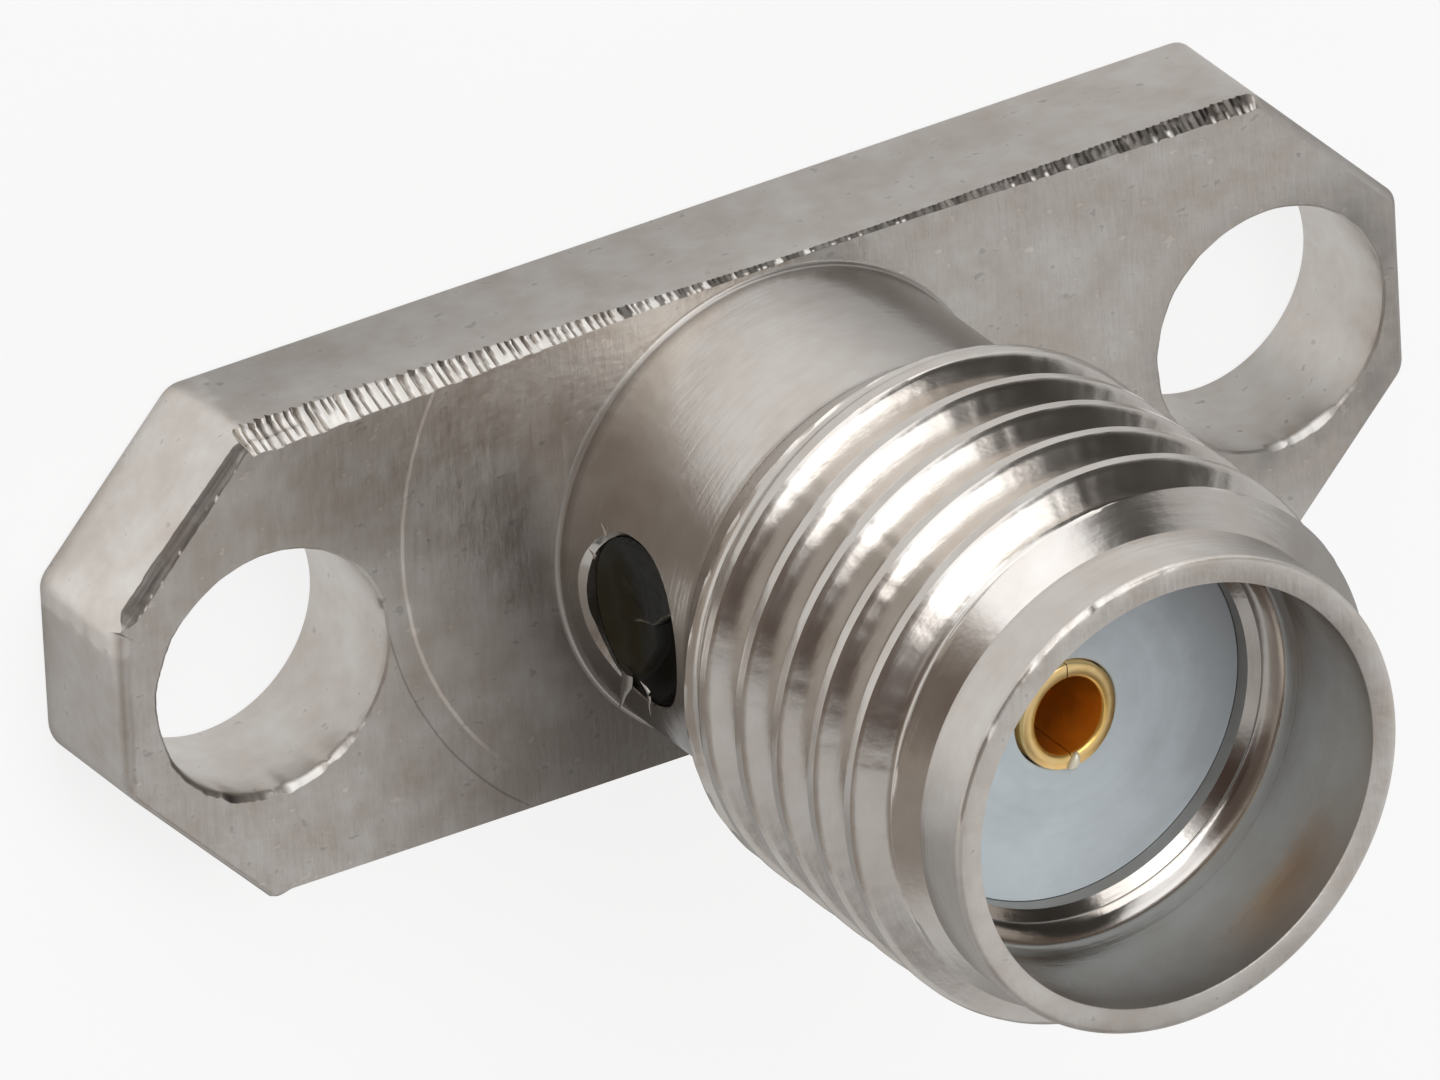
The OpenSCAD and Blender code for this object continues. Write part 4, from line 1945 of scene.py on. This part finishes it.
@dataclass(frozen=True)
class WhiteFloor:
    """A floor that is white to the eye and keeps the object's shadow.

    Metal sees painted light and shade in the floor's glow: a painted pool of light, brightest on
    the lamps' side and ending in their foot, painted light beside the -X,+Y corner, the -X end and
    under the screw holes, and painted shade round the flange.
    """

    glow: float = 0.82
    dim: float = 0.37
    bright_side: float = math.radians(110.0)
    bright_run: Run = (-2.5, 6.5)
    foot_run: Run = (14.0, 22.0)
    foot_spread: Run = (0.6, 0.4)
    foot_light: float = 1.3
    near_level: float = 0.645
    near_slope: float = 0.027
    near_right: Run = (8.6, 8.0)
    near_left: Run = (-10.0, -9.4)
    near_sides: Run = (4.3, 3.8)
    corner_run: Run = (9.0, 9.3)
    corner_light: float = 0.5
    end_run: Run = (-7.95, -8.1)
    end_light: float = 0.2
    hole_x: float = 6.12
    hole_run: Run = (1.7, 1.5)
    white: float = 0.95

    def build(self) -> bpy.types.Material:
        """Makes the material.

        Returns:
            The material.
        """
        floor = Finish("floor_white")
        x, y, _ = floor.parts(floor.place())
        path = floor.add("ShaderNodeLightPath")
        camera, glossy, through = (floor.signal(path, f"Is {kind} Ray")
                                   for kind in ("Camera", "Glossy", "Transmission"))
        seen = camera + glossy + through
        # Painted light and shade in the glow that metal and glass see; the camera sees plain white.
        across = x * math.cos(self.bright_side) + y * math.sin(self.bright_side)
        foot = y.step(*self.foot_run) * abs(x / y).step(*self.foot_spread)
        level = self.dim + across.step(*self.bright_run) * (1.0 - self.dim) + foot * self.foot_light
        near = x.step(*self.near_right) * x.step(*self.near_left) * abs(y).step(*self.near_sides)
        beside = ((y - x).step(*self.corner_run) * self.corner_light
                  + x.step(*self.end_run) * self.end_light)
        level = level + near * (self.near_level + x * self.near_slope + beside - level)
        # Painted light: the floor under the screw holes as bright as white.
        under = floor.distance(abs(x) - self.hole_x, y).step(*self.hole_run)
        level = level + under * (1.0 - level)
        level = level + camera * (1.0 - level)
        plain = floor.made("ShaderNodeBsdfDiffuse", inputs={"Color": (*(self.white,) * 3, 1.0)})
        glow = floor.made("ShaderNodeEmission",
                          inputs={"Color": (1.0, 1.0, 1.0, 1.0), "Strength": level})
        both = {0: seen.low(1.0) * self.glow, 1: plain, 2: glow}
        return floor.surface(floor.made("ShaderNodeMixShader", inputs=both))


@dataclass(frozen=True)
class Patch:
    """A bright or dark part of the studio's walls, as seen from the object, in degrees."""

    azimuth: float
    elevation: float
    half_width: float
    half_height: float
    soft: float
    colour: Colour

    def mask(self, graph: Graph, direction: Signal) -> Signal:
        """How much a direction lies in the patch.

        Args:
            graph: The world's graph.
            direction: Where one looks.

        Returns:
            1 inside, 0 outside.
        """
        a, e = math.radians(self.azimuth), math.radians(self.elevation)
        ahead = Vector((math.cos(e) * math.cos(a), math.cos(e) * math.sin(a), math.sin(e)))
        right = Vector((math.sin(a), -math.cos(a), 0.0))
        turn = Matrix((right, right.cross(ahead), ahead)).transposed().to_euler()
        halves = (self.half_width, self.half_height)
        sizes = [2 * math.sin(math.radians(half) / 2) for half in halves]
        mapped = graph.made("ShaderNodeMapping", {"vector_type": "TEXTURE"}, {
            "Vector": direction, "Location": tuple(ahead), "Rotation": tuple(turn),
            "Scale": (*sizes, max(sizes))})
        soft = self.soft / min(halves)
        return graph.length(mapped).step(1 + soft, 1 - soft)


@dataclass
class Studio:
    """Floor, lamps, world and camera."""

    camera_place: Point = (-212.8012, 231.7317, 361.6046)
    target: Point = (-0.0857, -0.9038, 0.5487)
    up: Point = (0.29202, 0.87306, -0.39049)
    lens: float = 1150.68
    sensor: float = 36.0
    clip: Run = (50.0, 5000.0)
    floor_half: float = 400.0
    floor_level: float = -0.005
    panel_place: Point = (80.0, 240.0, 600.0)
    panel_size: Run = (400.0, 370.0)
    panel_light: float = 2.5
    walls: Colour = (0.74, 0.74, 0.74)
    patches: tuple[Patch, ...] = (
        Patch(-84, 45, 21, 15, 6, (0.13, 0.11, 0.1)),
        Patch(156, 5, 42, 50, 14, (0.48, 0.43, 0.38)),
        Patch(157, 44, 23, 18, 4, (0.17, 0.135, 0.115)),
        Patch(168, 72, 15, 14, 4, (0.09, 0.06, 0.05)),
        Patch(94, 14, 27, 48, 4, (1.7, 1.72, 1.76)),
        Patch(33, 47, 29, 21, 4, (0.045, 0.04, 0.035)),
        Patch(57, 27, 14, 17, 4, (0.06, 0.055, 0.047)),
        Patch(-152, 24, 24, 20, 8, (0.36, 0.33, 0.3)),
    )

    def camera(self) -> None:
        """Places the camera."""
        data = bpy.data.cameras.new("camera")
        data.lens, data.sensor_width = self.lens, self.sensor
        data.clip_start, data.clip_end = (limit * MM for limit in self.clip)
        camera = bpy.data.objects.new("camera", data)
        bpy.context.scene.collection.objects.link(camera)
        back = (Vector(self.camera_place) - Vector(self.target)).normalized()
        up = Vector(self.up)
        up = (up - back * up.dot(back)).normalized()
        turn = Matrix((up.cross(back), up, back)).transposed().to_4x4()
        camera.matrix_world = Matrix.Translation(Vector(self.camera_place) * MM) @ turn
        bpy.context.scene.camera = camera

    def floor(self) -> None:
        """Adds the pale floor."""
        shell = Shell()
        half = self.floor_half
        shell.mesh.faces.new(shell.loop((x * half, y * half, self.floor_level)
                                        for x, y in ((-1, -1), (1, -1), (1, 1), (-1, 1))))
        floor = coat(shell.finish("floor"), WhiteFloor().build())

    def lamp(self) -> None:
        """Adds the overhead panel."""
        data = bpy.data.lights.new("panel", "AREA")
        data.shape = "RECTANGLE"
        data.size, data.size_y = (size * MM for size in self.panel_size)
        data.energy = self.panel_light * math.pi * data.size * data.size_y
        lamp = bpy.data.objects.new("panel", data)
        lamp.location = Vector(self.panel_place) * MM
        lamp.visible_camera = False
        bpy.context.scene.collection.objects.link(lamp)

    def world(self) -> None:
        """Sets the studio's walls: mid grey with bright and dark patches."""
        world = bpy.data.worlds.new("studio")
        world.use_nodes = True
        world.cycles.sampling_method = "NONE"
        bpy.context.scene.world = world
        graph = Graph(world.node_tree)
        direction = graph.signal(graph.add("ShaderNodeTexCoord"), "Generated")
        colour: object = self.walls
        for patch in self.patches:
            colour = graph.blend(patch.mask(graph, direction), colour, patch.colour)
        back = graph.made("ShaderNodeBackground", inputs={"Color": colour, "Strength": 1.0})
        graph.add("ShaderNodeOutputWorld", inputs={"Surface": back})

    def build(self) -> None:
        """Builds the whole set."""
        self.camera()
        self.floor()
        self.lamp()
        self.world()
        bpy.context.scene.view_settings.view_transform = "Standard"


def report(piece: bpy.types.Object) -> None:
    """Logs one finished piece."""
    triangles = sum(len(p.vertices) - 2 for p in piece.data.polygons)
    LOG.info("%s: %d triangles, %d open edges", piece.name, triangles, open_edges(piece))


def main() -> None:
    """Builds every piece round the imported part."""
    logging.basicConfig(level=logging.INFO, format="%(message)s")
    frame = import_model()
    LOG.info("frame nodes: %s", ", ".join(sorted(frame["nodes"])))
    pieces = [
        (JackBody().build(NickelPlate()), Slot.NICKEL, "body"),
        (DielectricBead().build(BeadWhite().build()), Slot.BEAD, "dielectric_bead"),
        (CentreContact().build(ContactGold().build()), Slot.GOLD, "centre_contact"),
        (ResinPlug().build(DarkResin().build()), Slot.RESIN, "captive_resin"),
    ]
    for piece, slot, node in pieces:
        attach(piece, "root")
        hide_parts(node)
        report(piece)
    Studio().build()


if __name__ == "__main__":
    main()
